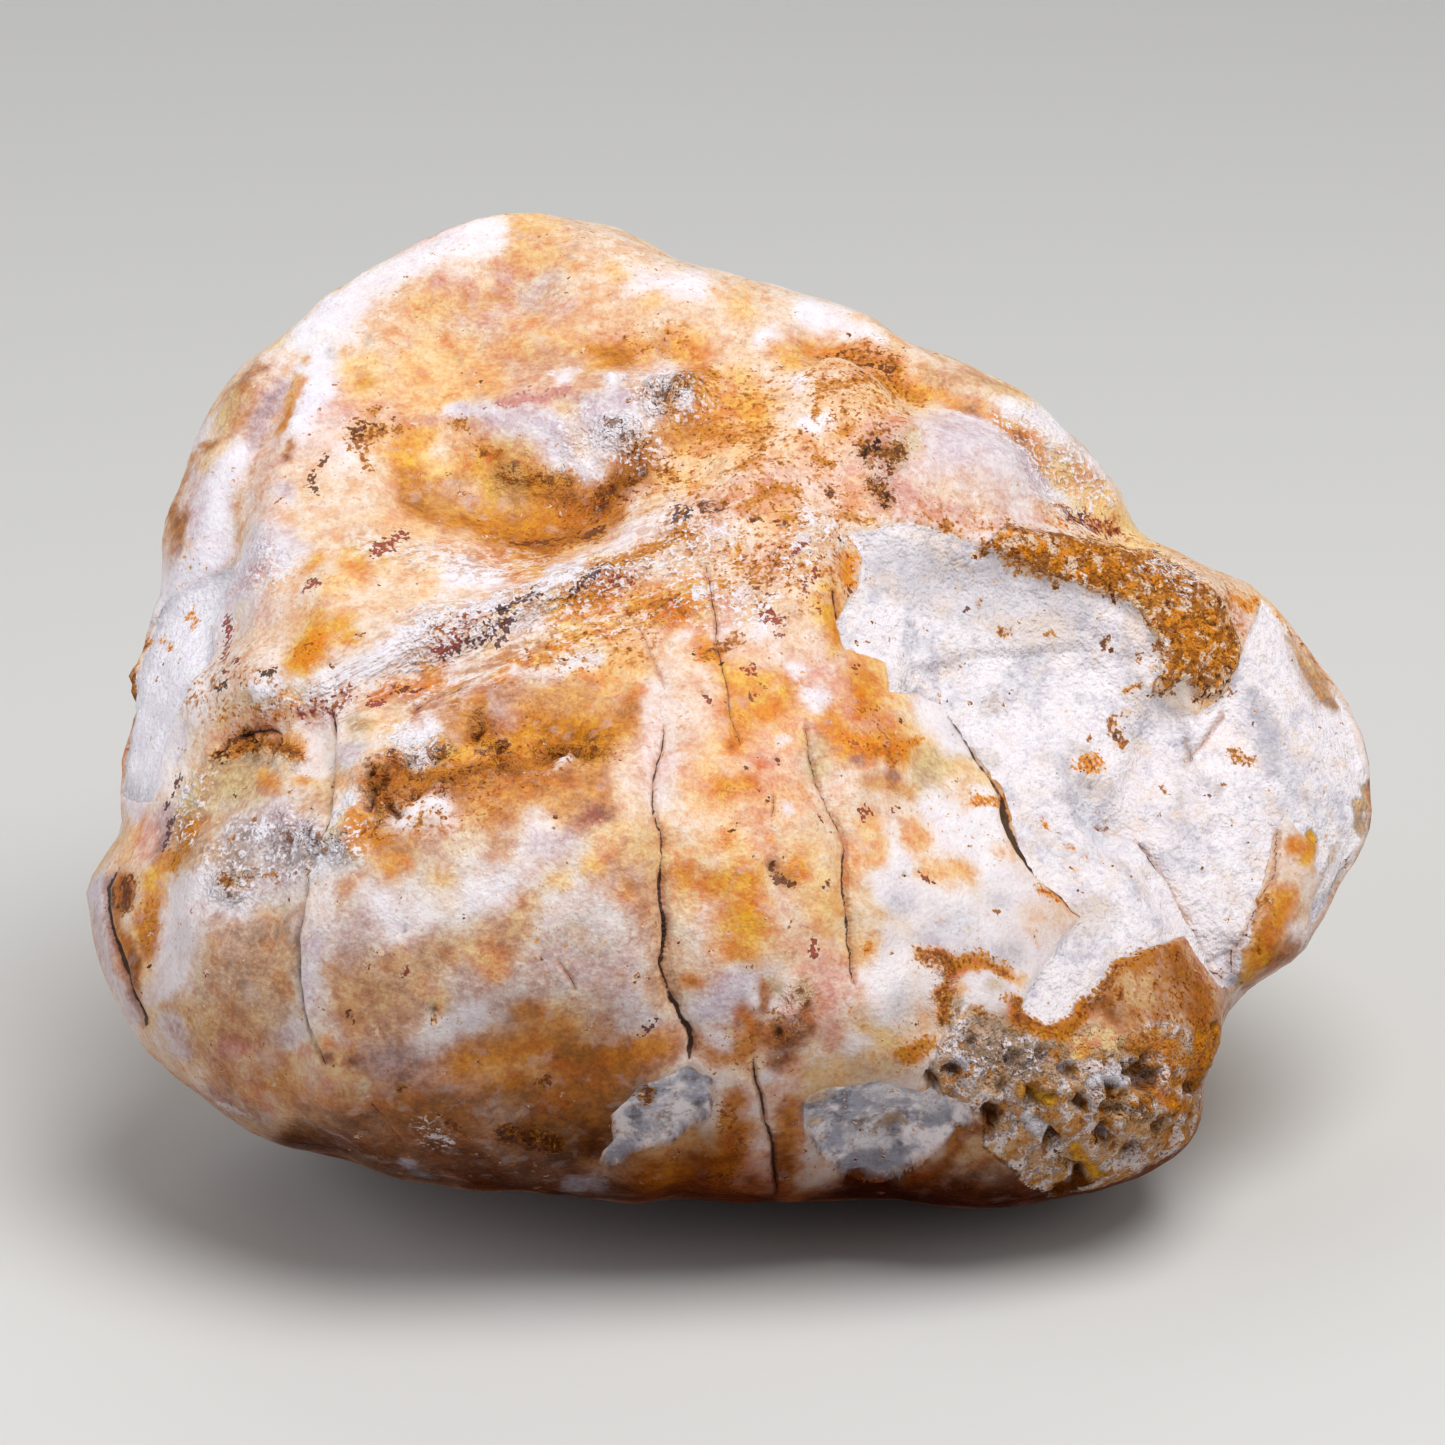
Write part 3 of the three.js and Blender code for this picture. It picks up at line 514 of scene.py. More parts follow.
# Soft washes over the broken face, the pits and the porous corner.
TINTS = marks(front=[
    # the broken face
    ("white", 0.45, [(34, 900, 565, 1000, 600, 1060, 620)]),
    ("peach", 0.45, [
        (12, 945, 600), (14, 1000, 630, 1060, 635), (14, 1085, 750), (16, 1040, 920, 1100, 900),
        (10, 1060, 895),
    ]),
    ("cream", 0.35, [(16, 1200, 790, 1180, 760), (20, 1060, 930, 1110, 910), (16, 1130, 650, 1150, 680)]),
    # blue grey: partly stone of that colour, partly painted shade beside the ledges and edges
    ("slate", 0.4, [
        (14, 965, 725, 990, 750), (14, 1080, 785, 1110, 790), (8, 1190, 725, 1192, 748), (12, 1215, 775),
        (9, 1268, 700, 1275, 740), (8, 1090, 690), (6, 870, 545, 900, 540), (5, 850, 610),
        (6, 925, 682, 950, 690),
    ]),
    # the porous corner and the brown skin above it
    ("orange", 0.95, [
        (6, 922, 958, 945, 960, 938, 985, 942, 1015), (6, 955, 970, 985, 960, 1005, 970), (8, 1010, 1005),
        (7, 1010, 1015, 1040, 1030, 1065, 1026, 1085, 1004), (7, 912, 1050), (8, 1127, 975, 1128, 960),
    ]),
    ("peach", 0.9, [(8, 1018, 975), (18, 1080, 1042, 1120, 1035), (7, 958, 985)]),
    ("fawn", 0.9, [(8, 955, 1000), (20, 985, 1040, 1020, 1060)]),
    ("tan", 0.95, [(24, 1130, 1000, 1160, 985, 1190, 1005), (18, 1150, 965, 1175, 960)]),
    ("toffee", 0.5, [(12, 1150, 960, 1190, 975), (10, 1120, 1020, 1160, 1015)]),
    ("moss", 0.6, [(8, 990, 985), (8, 1150, 1040)]),
    ("amber", 0.65, [
        (8, 1095, 1000, 1112, 1010), (7, 1175, 950, 1180, 975), (7, 1195, 985, 1212, 1005),
        (9, 988, 1110, 992, 1135),
    ]),
    ("ochre", 0.95, [(14, 1202, 1000, 1205, 1040, 1195, 1070), (8, 1180, 950)]),
    ("orange", 0.75, [
        (9, 1140, 1040, 1170, 1050), (8, 1160, 1090, 1180, 1110), (7, 1100, 1115, 1110, 1130),
        (6, 1030, 1095),
    ]),
    ("white", 0.85, [
        (7, 1068, 1065), (9, 1100, 1085, 1122, 1070), (9, 1025, 1115, 1040, 1128), (9, 960, 1060),
    ]),
    ("gold", 0.8, [
        (8, 1015, 1090, 1050, 1102), (9, 1080, 1150, 1095, 1165), (7, 1130, 1150), (8, 1085, 1050),
    ]),
    ("rust", 0.95, [(6, 845, 1182, 870, 1182, 900, 1187)]),
    ("white", 0.75, [
        (9, 860, 1105, 900, 1105, 940, 1112), (8, 850, 1140, 880, 1150), (7, 690, 1100),
        (5, 650, 1120, 660, 1140),
    ]),
    ("cream", 0.8, [(7, 815, 1112, 830, 1098), (6, 820, 1135)]),
    ("slate", 0.7, [(9, 850, 1165, 900, 1165), (7, 930, 1130, 950, 1125), (6, 700, 1120)]),
    ("tan", 0.6, [(6, 900, 1125, 880, 1130), (5, 960, 1110)]),
    ("amber", 0.9, [(6, 912, 1180, 940, 1170, 960, 1152, 980, 1132)]),
    # brown along the foot: brown stain with painted shade
    ("brown", 0.95, [(15, 960, 1190, 1000, 1196), (10, 850, 1200, 900, 1200), (8, 1090, 1180, 1060, 1190)]),
    # the white side of the right lobe
    ("tan", 0.75, [(6, 1295, 640, 1315, 665, 1338, 705), (5, 1368, 790, 1366, 830)]),
    ("peach", 0.5, [(14, 1300, 650, 1330, 690), (6, 1345, 850, 1325, 880), (5, 1368, 800)]),
    ("white", 1.0, [(40, 190, 600, 160, 680, 140, 760)]),
    ("cream", 0.3, [(9, 1290, 870, 1265, 930)]),
    ("gold", 0.9, [(7, 1296, 838), (8, 1312, 830, 1307, 858), (10, 1285, 895, 1272, 935, 1252, 975)]),
    ("amber", 0.7, [(5, 1305, 660, 1325, 690, 1336, 704), (5, 1290, 955, 1255, 990)]),
    ("slate", 0.5, [(10, 1255, 695, 1272, 740, 1282, 770), (8, 1350, 880)]),
], back=[
    ("slate", 0.5, [(30, 560, 540, 680, 560), (24, 900, 960)]),
    ("peach", 0.5, [(24, 640, 500), (20, 860, 1000)]),
], left=[
    ("slate", 0.5, [(24, 560, 740)]),
])

# Grainy iron stains.
STAINS = marks(front=[
    ("ochre", 0.45, [
        (24, 640, 590, 690, 600), (20, 560, 470, 620, 490), (20, 420, 780, 560, 765),
        (20, 1150, 960, 1200, 1010), (26, 720, 590, 840, 570), (22, 850, 400, 890, 430),
        (20, 780, 500, 800, 540),
    ]),
    ("amber", 0.42, [
        (26, 620, 480, 650, 450), (16, 540, 530, 480, 520), (16, 380, 800, 440, 770),
        (16, 560, 750, 600, 745), (12, 870, 700, 890, 750), (30, 780, 1020, 740, 1050),
        (12, 870, 470, 890, 490),
    ]),
    ("orange", 0.9, [
        (6, 225, 748, 245, 738, 285, 744), (11, 316, 640, 300, 652), (7, 855, 565, 845, 590),
        (8, 1092, 760, 1103, 756), (6, 1066, 526), (6, 850, 560), (5, 1058, 815), (4, 1080, 835),
        (5, 972, 802, 1005, 800), (6, 1045, 890, 1065, 900), (5, 870, 952), (6, 850, 736, 870, 750),
        (6, 900, 745, 925, 738), (8, 1040, 1030, 1085, 1010), (6, 160, 640), (5, 182, 612), (4, 190, 618),
        (5, 1230, 600, 1250, 605),
    ]),
    ("ochre", 0.95, [
        (8, 918, 958, 945, 963, 985, 958, 1003, 968), (8, 938, 982, 944, 1012),
        (9, 1008, 1000, 1022, 1020, 1060, 1026, 1086, 1004), (9, 1100, 992, 1127, 962, 1150, 950),
        (8, 905, 1052, 930, 1040),
    ]),
    ("ochre", 0.85, [
        (6, 745, 512, 772, 500), (6, 845, 512, 872, 520), (4, 742, 545, 735, 575), (6, 785, 530, 790, 525),
        (6, 722, 590), (10, 600, 565, 650, 548, 680, 530), (12, 700, 420, 730, 440),
        (9, 700, 365, 720, 370), (10, 590, 520, 560, 528), (12, 400, 780, 440, 770, 500, 772),
        (10, 550, 742, 590, 742), (9, 370, 830, 385, 845), (6, 560, 600, 600, 598), (9, 155, 905, 148, 940),
        (8, 200, 830, 175, 860), (8, 1010, 560, 1050, 575), (8, 1205, 1010, 1200, 1050),
        (10, 830, 385, 880, 380, 920, 392), (7, 825, 405), (6, 845, 430), (9, 760, 440, 745, 430),
        (6, 820, 465, 835, 470), (5, 740, 470, 755, 462), (8, 800, 495, 765, 490),
        (7, 1270, 900, 1262, 950),
    ]),
    ("amber", 0.8, [
        (10, 600, 487, 630, 472, 652, 458), (8, 560, 490, 590, 500), (6, 560, 532, 600, 518),
        (7, 510, 535, 555, 532), (8, 365, 428, 358, 445, 378, 432), (5, 362, 455, 361, 468),
        (5, 370, 412, 380, 407), (6, 455, 423, 464, 424), (5, 390, 430, 402, 424), (6, 475, 440, 490, 446),
        (9, 655, 608, 678, 604), (7, 700, 655, 714, 650, 735, 640),
        (6, 213, 752, 222, 738, 245, 729, 262, 724), (4, 240, 752, 258, 744, 290, 742),
        (8, 765, 580, 770, 560), (7, 755, 592, 750, 568), (9, 840, 352, 880, 362, 895, 368),
        (4, 1003, 630, 1014, 633), (4, 1052, 636), (6, 1116, 715, 1125, 738), (4, 1090, 733),
        (7, 1242, 745, 1262, 758), (5, 905, 412), (6, 885, 435, 870, 440), (10, 650, 455, 670, 470),
        (9, 415, 790, 400, 800), (7, 372, 790, 382, 778), (8, 480, 775, 455, 782), (7, 880, 750, 890, 765),
        (6, 222, 872, 226, 884), (5, 258, 880, 266, 876), (4, 235, 838), (4, 260, 820),
        (9, 1100, 1003, 1120, 995), (8, 1178, 955, 1185, 985), (5, 920, 958, 945, 963),
        (5, 940, 985, 944, 1010), (6, 1010, 1006, 1024, 1022), (6, 1100, 992, 1122, 968), (5, 800, 590),
        (6, 860, 440, 870, 450), (4, 940, 525, 950, 525), (10, 730, 1110, 740, 1150),
        (8, 700, 1180, 730, 1175), (5, 985, 605), (7, 1190, 1090, 1196, 1060), (4, 1128, 690, 1140, 684),
    ]),
    ("rust", 0.95, [
        (5, 700, 507, 722, 505), (5, 833, 495), (8, 865, 456, 900, 452), (8, 878, 484, 886, 500),
        (7, 895, 466), (6, 478, 724, 474, 730), (5, 502, 740), (4, 370, 770), (5, 368, 800, 374, 790),
        (4, 414, 796), (5, 558, 752, 576, 748), (3, 590, 755), (4, 495, 762), (5, 1105, 641),
        (4, 1139, 655), (8, 1166, 690, 1173, 680), (4, 441, 816), (7, 500, 1130, 520, 1138, 560, 1140),
        (5, 455, 1118, 465, 1128), (5, 540, 1088, 550, 1082), (6, 107, 888, 108, 902),
        (9, 128, 885, 126, 905), (4, 1122, 728), (5, 610, 482, 600, 490), (4, 640, 448), (6, 1096, 995),
        (5, 300, 870, 305, 862), (5, 992, 1132), (3, 485, 708), (5, 400, 1088), (3, 785, 530),
        (6, 640, 1108, 650, 1098),
    ]),
    ("wine", 0.6, [(9, 290, 715, 330, 706, 352, 694), (9, 480, 620, 440, 632), (7, 600, 585, 630, 578)]),
    ("wine", 0.95, [
        (6, 1000, 540, 1010, 528, 1025, 541), (5, 988, 545), (5, 1062, 502, 1082, 516, 1100, 526),
        (4, 1098, 533, 1115, 536),
    ]),
], back=[
    ("ochre", 0.8, [(20, 700, 600, 840, 560), (20, 380, 900, 520, 1000), (20, 900, 1080, 1050, 1040)]),
    ("amber", 0.85, [(12, 760, 590, 800, 620), (12, 1040, 620, 1080, 660), (12, 440, 760, 480, 800)]),
    ("rust", 0.9, [(8, 880, 860, 900, 900), (8, 470, 980, 520, 1010), (8, 1020, 1000, 1080, 990)]),
    ("orange", 0.85, [
        (9, 560, 700, 600, 690), (8, 980, 820, 1010, 860), (7, 740, 880, 760, 900), (9, 860, 540, 900, 560),
    ]),
], left=[
    ("amber", 0.8, [(12, 640, 880, 690, 930), (10, 700, 640, 740, 600), (8, 780, 700, 800, 760)]),
    ("rust", 0.9, [(6, 680, 900, 720, 940), (5, 820, 820, 830, 840)]),
], right=[
    ("ochre", 0.8, [
        (16, 700, 900, 820, 960), (10, 620, 740, 680, 800), (9, 860, 760, 900, 860),
        (8, 760, 640, 800, 680),
    ]),
    ("amber", 0.75, [
        (8, 640, 860, 700, 840), (7, 840, 900, 820, 860), (6, 700, 700, 730, 740), (10, 900, 900, 920, 960),
    ]),
    ("rust", 0.9, [
        (8, 820, 960, 860, 990), (6, 640, 940, 660, 950), (4, 740, 800, 750, 820), (4, 880, 820),
    ]),
])

# Fine streaks, most of them dark, and bright crystals, some of the white ones painted glints.
STREAKS = marks(front=[
    # white crystals, some of them painted glints
    ("white", 0.85, [
        (5, 612, 379, 618, 376), (6, 650, 378, 672, 376), (6, 682, 392, 686, 408), (8, 608, 432, 628, 424),
        (4, 570, 446), (5, 655, 392), (4, 562, 430), (5, 584, 464, 592, 456), (4, 640, 408), (3, 452, 406),
        (4, 556, 374), (4, 800, 424, 815, 416), (3, 806, 545, 800, 552), (4, 500, 590, 520, 580),
        (3, 552, 562, 566, 556), (4, 268, 690, 256, 698), (4, 700, 598, 716, 590), (4, 600, 640, 620, 634),
        (3, 350, 845, 345, 855), (4, 258, 836, 270, 826), (3, 290, 832, 305, 838), (3, 236, 896, 246, 890),
        (3, 405, 742, 420, 732), (3, 190, 792, 180, 815), (3, 430, 1138, 455, 1142),
        (3, 214, 1098, 240, 1112),
    ]),
    ("rose", 0.9, [(3, 500, 400, 545, 396, 568, 389)]),
    ("plum", 1.0, [
        (2.5, 445, 650, 472, 638), (4, 478, 638, 495, 628, 510, 624), (3.5, 498, 614, 520, 603, 535, 597),
        (3, 500, 640, 510, 632), (3, 567, 592, 580, 585, 600, 577), (3.5, 672, 512, 685, 510),
        (3, 172, 800, 163, 815), (3, 178, 785, 172, 798), (2.5, 640, 1032, 655, 1020),
        (3, 172, 828, 165, 845), (3, 1070, 506, 1086, 516),
    ]),
    ("wine", 1.0, [
        (4, 372, 544, 385, 539, 402, 534), (3, 378, 551, 390, 546), (3.5, 303, 588, 311, 584, 313, 591),
        (3, 223, 616, 222, 640, 226, 654), (3, 237, 658), (2.5, 226, 667), (2, 396, 418),
        (4.5, 763, 626, 770, 620, 778, 626), (3, 762, 612), (4, 803, 593), (3, 808, 585, 815, 580),
        (2.5, 818, 610), (3, 789, 559, 800, 552), (2.5, 780, 638), (3.5, 747, 668, 755, 662),
        (2.5, 708, 705), (2.5, 754, 694), (3.5, 405, 974), (2.5, 441, 961), (3, 810, 944, 811, 958),
        (3, 864, 812, 868, 821), (3, 893, 814), (4, 922, 878), (3, 440, 648, 458, 637),
        (2.5, 378, 704, 388, 702), (2.5, 240, 683), (2.5, 1095, 534), (3, 765, 600), (2.5, 860, 668),
        (2, 1213, 788),
    ]),
    ("rust", 1.0, [
        (3, 313, 478, 312, 490, 318, 494), (2.5, 330, 459, 320, 467), (3, 357, 438, 366, 430, 376, 427),
        (2.5, 463, 917), (2.5, 395, 692, 415, 686, 425, 680), (3, 213, 756, 217, 746, 228, 736, 250, 728),
        (3, 768, 866, 776, 880, 792, 885), (2.5, 757, 528, 763, 525), (2.5, 567, 592), (2.5, 348, 1018),
        (2, 598, 570, 612, 564), (3, 515, 533, 545, 528), (3, 575, 524, 600, 514), (2.5, 840, 542),
        (2.5, 845, 598), (3, 1090, 570, 1110, 580), (2.5, 822, 352, 840, 350), (2.5, 1020, 552, 1034, 556),
        (3, 860, 362, 890, 370), (2.5, 740, 765), (2.5, 785, 765), (2.5, 300, 875, 306, 862),
        (3, 845, 1182, 900, 1190), (2.5, 972, 606), (2.5, 878, 500, 884, 502),
    ]),
    ("umber", 1.0, [
        (2, 686, 510), (3, 884, 500), (2, 720, 660), (2, 903, 721), (2, 400, 902), (3, 500, 608),
        (2, 505, 632), (2.5, 870, 454, 880, 448), (2, 530, 583), (2, 235, 793), (2, 308, 806),
        (2, 148, 960), (3, 216, 688, 224, 686), (2.5, 262, 672, 271, 665), (2, 396, 752), (3, 1098, 1142),
        (2, 1060, 1150),
    ]),
], back=[
    ("plum", 1.0, [(6, 500, 720, 600, 690, 700, 680), (5, 960, 620, 1020, 660)]),
    ("wine", 1.0, [(5, 640, 820, 648, 828), (5, 760, 930, 766, 934), (4, 900, 780, 914, 790)]),
    ("rust", 1.0, [
        (4, 560, 760, 590, 750), (4, 820, 640, 850, 630), (3, 700, 1000, 720, 1010),
        (3, 1040, 840, 1050, 860),
    ]),
    ("umber", 1.0, [(3, 620, 700, 626, 706), (3, 900, 940), (3, 780, 700, 790, 712)]),
], left=[
    ("plum", 1.0, [(4, 620, 760, 660, 740)]),
    ("rust", 1.0, [(3, 720, 640, 736, 650), (3, 800, 860, 812, 870), (3, 660, 820, 670, 826)]),
], right=[
    ("plum", 1.0, [(4, 640, 820, 690, 810), (3, 860, 720, 880, 740)]),
    ("rust", 1.0, [
        (3, 700, 760, 712, 768), (3, 820, 700, 830, 705), (3, 760, 880, 770, 890), (3, 880, 900, 890, 912),
    ]),
    ("umber", 1.0, [(3, 740, 820), (3, 800, 860, 806, 866)]),
])

# Outlines where the skin is broken away to chalky stone.
FRACTURES = marks(front=[
    [
        (868, 530), (900, 520), (945, 528), (985, 545), (1005, 556), (1040, 572), (1080, 588), (1120, 596),
        (1148, 618), (1160, 650), (1160, 690), (1178, 706), (1200, 712), (1232, 690), (1246, 640),
        (1262, 600), (1300, 640), (1345, 700), (1378, 800), (1350, 880), (1310, 930), (1322, 880),
        (1314, 840), (1285, 812), (1272, 870), (1256, 930), (1240, 985), (1226, 990), (1186, 935),
        (1128, 955), (1096, 1000), (1050, 1024), (1018, 1010), (1035, 975), (1060, 945), (1083, 914),
        (1055, 885), (1030, 850), (1018, 822), (1010, 800), (985, 755), (970, 735), (955, 712), (925, 688),
        (893, 686), (888, 664), (845, 650), (836, 622), (856, 590), (864, 562), (846, 532),
    ],
    [
        (228, 560), (222, 600), (209, 625), (212, 650), (192, 680), (172, 722), (150, 800), (100, 800),
        (100, 690), (140, 620), (180, 590),
    ],
], back=[
    [
        (540, 540), (580, 505), (640, 490), (700, 500), (724, 540), (700, 572), (690, 610), (640, 622),
        (610, 650), (572, 630), (560, 590),
    ],
    [
        (850, 900), (890, 868), (930, 872), (962, 905), (992, 925), (985, 960), (1000, 990), (950, 1010),
        (905, 1000), (880, 1020), (846, 985), (862, 940),
    ],
], left=[
    [
        (520, 660), (560, 615), (600, 618), (640, 660), (652, 710), (628, 750), (622, 790), (560, 800),
        (530, 760),
    ],
])

# Outlines of the pits broken into the skin, blue grey inside.
PITS = marks(front=[
    [
        (693, 1068), (713, 1080), (711, 1122), (690, 1132), (675, 1146), (641, 1152), (612, 1172),
        (598, 1166), (612, 1142), (612, 1116), (640, 1088), (665, 1078),
    ],
    [
        (803, 1106), (830, 1092), (880, 1086), (930, 1092), (968, 1108), (976, 1126), (950, 1146),
        (920, 1168), (888, 1184), (850, 1182), (822, 1160), (806, 1136),
    ],
])

# Outlines of the rusty crusts, which stand proud.
CRUSTS = marks(front=[
    [
        (980, 549), (1005, 525), (1053, 533), (1123, 546), (1155, 552), (1187, 572), (1219, 600),
        (1236, 638), (1238, 667), (1219, 695), (1200, 699), (1186, 680), (1166, 700), (1156, 690),
        (1163, 651), (1149, 619), (1120, 598), (1085, 588), (1050, 575), (1015, 556),
    ],
], back=[
    [(700, 620), (800, 560), (900, 600), (860, 660), (760, 680)],
])

# The porous corner's outline.
POROUS = marks(front=[
    [
        (925, 1078), (941, 1040), (973, 1004), (1017, 1022), (1057, 1034), (1092, 1022), (1120, 1034),
        (1160, 1022), (1192, 1030), (1222, 1020), (1210, 1062), (1206, 1122), (1186, 1158), (1121, 1182),
        (1060, 1200), (1025, 1180), (985, 1150), (985, 1118), (950, 1100),
    ],
])

# Ledges: height in mm, how far the low side takes to rise again in mm, and the line, with the low side
# on the right-hand side of the way it runs.
LEDGES = marks(front=[
    (0.32, 5.0, [
        (900, 660), (945, 657), (980, 650), (1025, 648), (1060, 645), (1085, 642), (1100, 655), (1122, 682),
    ]),
    (0.75, 4.5, [
        (1083, 914), (1070, 900), (1055, 885), (1045, 875), (1030, 850), (1018, 822), (1010, 800),
        (1000, 780), (985, 755), (970, 735), (955, 712), (945, 698), (925, 687), (893, 683),
    ]),
    (0.75, 4.0, [
        (1230, 985), (1225, 975), (1208, 945), (1200, 925), (1190, 915), (1180, 895), (1172, 880),
        (1163, 868), (1152, 853), (1142, 842), (1128, 830), (1100, 818),
    ]),
    (0.6, 3.0, [
        (334, 713), (322, 753), (323, 805), (313, 848), (300, 876), (290, 934), (291, 986), (303, 1029),
        (325, 1068),
    ]),
    (0.3, 1.5, [(370, 1105), (400, 1145)]), (0.3, 1.2, [(290, 742), (258, 744), (240, 752), (222, 762)]),
    (0.35, 1.2, [(1183, 680), (1190, 730), (1196, 748), (1215, 725), (1228, 705)]),
    (0.3, 2.0, [(486, 403), (540, 392), (600, 398), (660, 402), (700, 385)]),
    (0.3, 1.2, [(1282, 812), (1283, 850), (1278, 880), (1262, 905), (1250, 935), (1240, 965), (1232, 985)]),
    (0.35, 1.4, [(490, 692), (540, 682), (600, 683), (640, 690)]),
    (0.4, 1.6, [(560, 648), (500, 668), (440, 690), (400, 702)]),
    (0.3, 1.4, [(640, 560), (600, 570), (560, 585), (500, 610), (440, 640)]),
], back=[
    (0.7, 4.0, [(420, 560), (520, 640), (640, 700), (760, 700), (860, 660)]),
    (0.6, 3.5, [(980, 760), (940, 860), (860, 940), (760, 980)]),
    (0.5, 3.0, [(480, 860), (560, 940), (680, 1000)]),
], left=[
    (0.6, 3.0, [(780, 500), (720, 640), (740, 780)]),
], right=[
    (0.6, 3.0, [(600, 600), (700, 660), (800, 780), (820, 900)]),
])

# Cracks: half-width in mm, depth as a share of a main crack's, and the line.
CRACKS = marks(front=[
    (0.035, 0.8, [(665, 721), (661, 745), (652, 773), (657, 809), (665, 837), (666, 860)]),
    (0.1, 1.2, [(666, 860), (665, 900), (668, 921), (665, 962), (673, 990)]),
    (0.13, 1.2, [(673, 990), (685, 1018), (696, 1040), (693, 1062)]),
    (0.015, 0.5, [(806, 717), (810, 745), (820, 780), (830, 805), (844, 830), (849, 845)]),
    (0.04, 0.8, [(849, 845), (849, 881), (850, 921), (854, 958), (856, 986)]),
    (0.02, 0.4, [(705, 565), (711, 590), (716, 620), (717, 648), (727, 680), (731, 717), (741, 745)]),
    (0.0, 0.2, [(621, 604), (641, 632), (652, 655), (665, 690)]),
    (0.04, 0.8, [(754, 1058), (760, 1090), (764, 1110), (766, 1125)]),
    (0.07, 0.9, [(766, 1125), (774, 1150), (776, 1191)]), (0.01, 0.3, [(561, 962), (570, 975), (578, 992)]),
    (0.005, 0.3, [(774, 793), (770, 821)]), (0.07, 0.9, [(330, 705), (324, 753), (324, 810), (313, 848)]),
    (0.065, 0.9, [(300, 876), (290, 934), (291, 986), (303, 1029), (325, 1068)]),
    (0.05, 0.7, [(213, 756), (225, 736), (259, 727), (278, 730)]),
    (0.03, 0.6, [(830, 590), (836, 620), (846, 650)]),
    (0.015, 0.4, [(1282, 825), (1280, 870), (1262, 905), (1250, 935), (1236, 978)]),
    (0.15, 1.0, [(1004, 798), (1013, 824), (1026, 851), (1041, 873)]),
    (0.05, 0.6, [(1041, 873), (1055, 889), (1071, 904), (1081, 915)]),
    (0.03, 0.5, [(952, 712), (970, 740), (993, 776), (1004, 798)]),
    (0.03, 0.6, [(1100, 818), (1128, 830), (1140, 840)]),
    (0.14, 0.9, [(1142, 837), (1158, 853), (1176, 878), (1187, 896)]),
    (0.06, 0.7, [(1186, 896), (1202, 925), (1214, 950), (1229, 982)]),
    (0.04, 0.6, [(893, 684), (925, 687), (945, 698), (955, 712)]), (0.03, 0.5, [(370, 1103), (400, 1145)]),
    (0.0, 0.4, [(465, 690), (430, 700), (410, 712)]),
    (0.12, 0.9, [(112, 868), (101, 886), (104, 910), (112, 940), (124, 983), (146, 1028)]),
    (0.0, 0.4, [(1190, 730), (1197, 748), (1212, 730), (1226, 708)]),
], back=[
    (0.09, 1.0, [
        (700, 700), (716, 740), (708, 780), (722, 830), (700, 870), (712, 930), (742, 970), (738, 1050),
    ]),
    (0.07, 0.8, [(560, 560), (548, 600), (556, 640), (540, 680), (572, 720)]),
    (0.07, 0.8, [(980, 640), (992, 680), (984, 710), (1010, 750), (1020, 790), (1062, 820)]),
], left=[
    (0.08, 0.9, [(640, 560), (650, 610), (622, 660), (634, 710), (660, 760), (646, 830), (652, 900)]),
], right=[
    (0.08, 0.9, [
        (760, 620), (752, 670), (768, 710), (750, 750), (776, 800), (792, 850), (776, 900), (784, 940),
    ]),
])

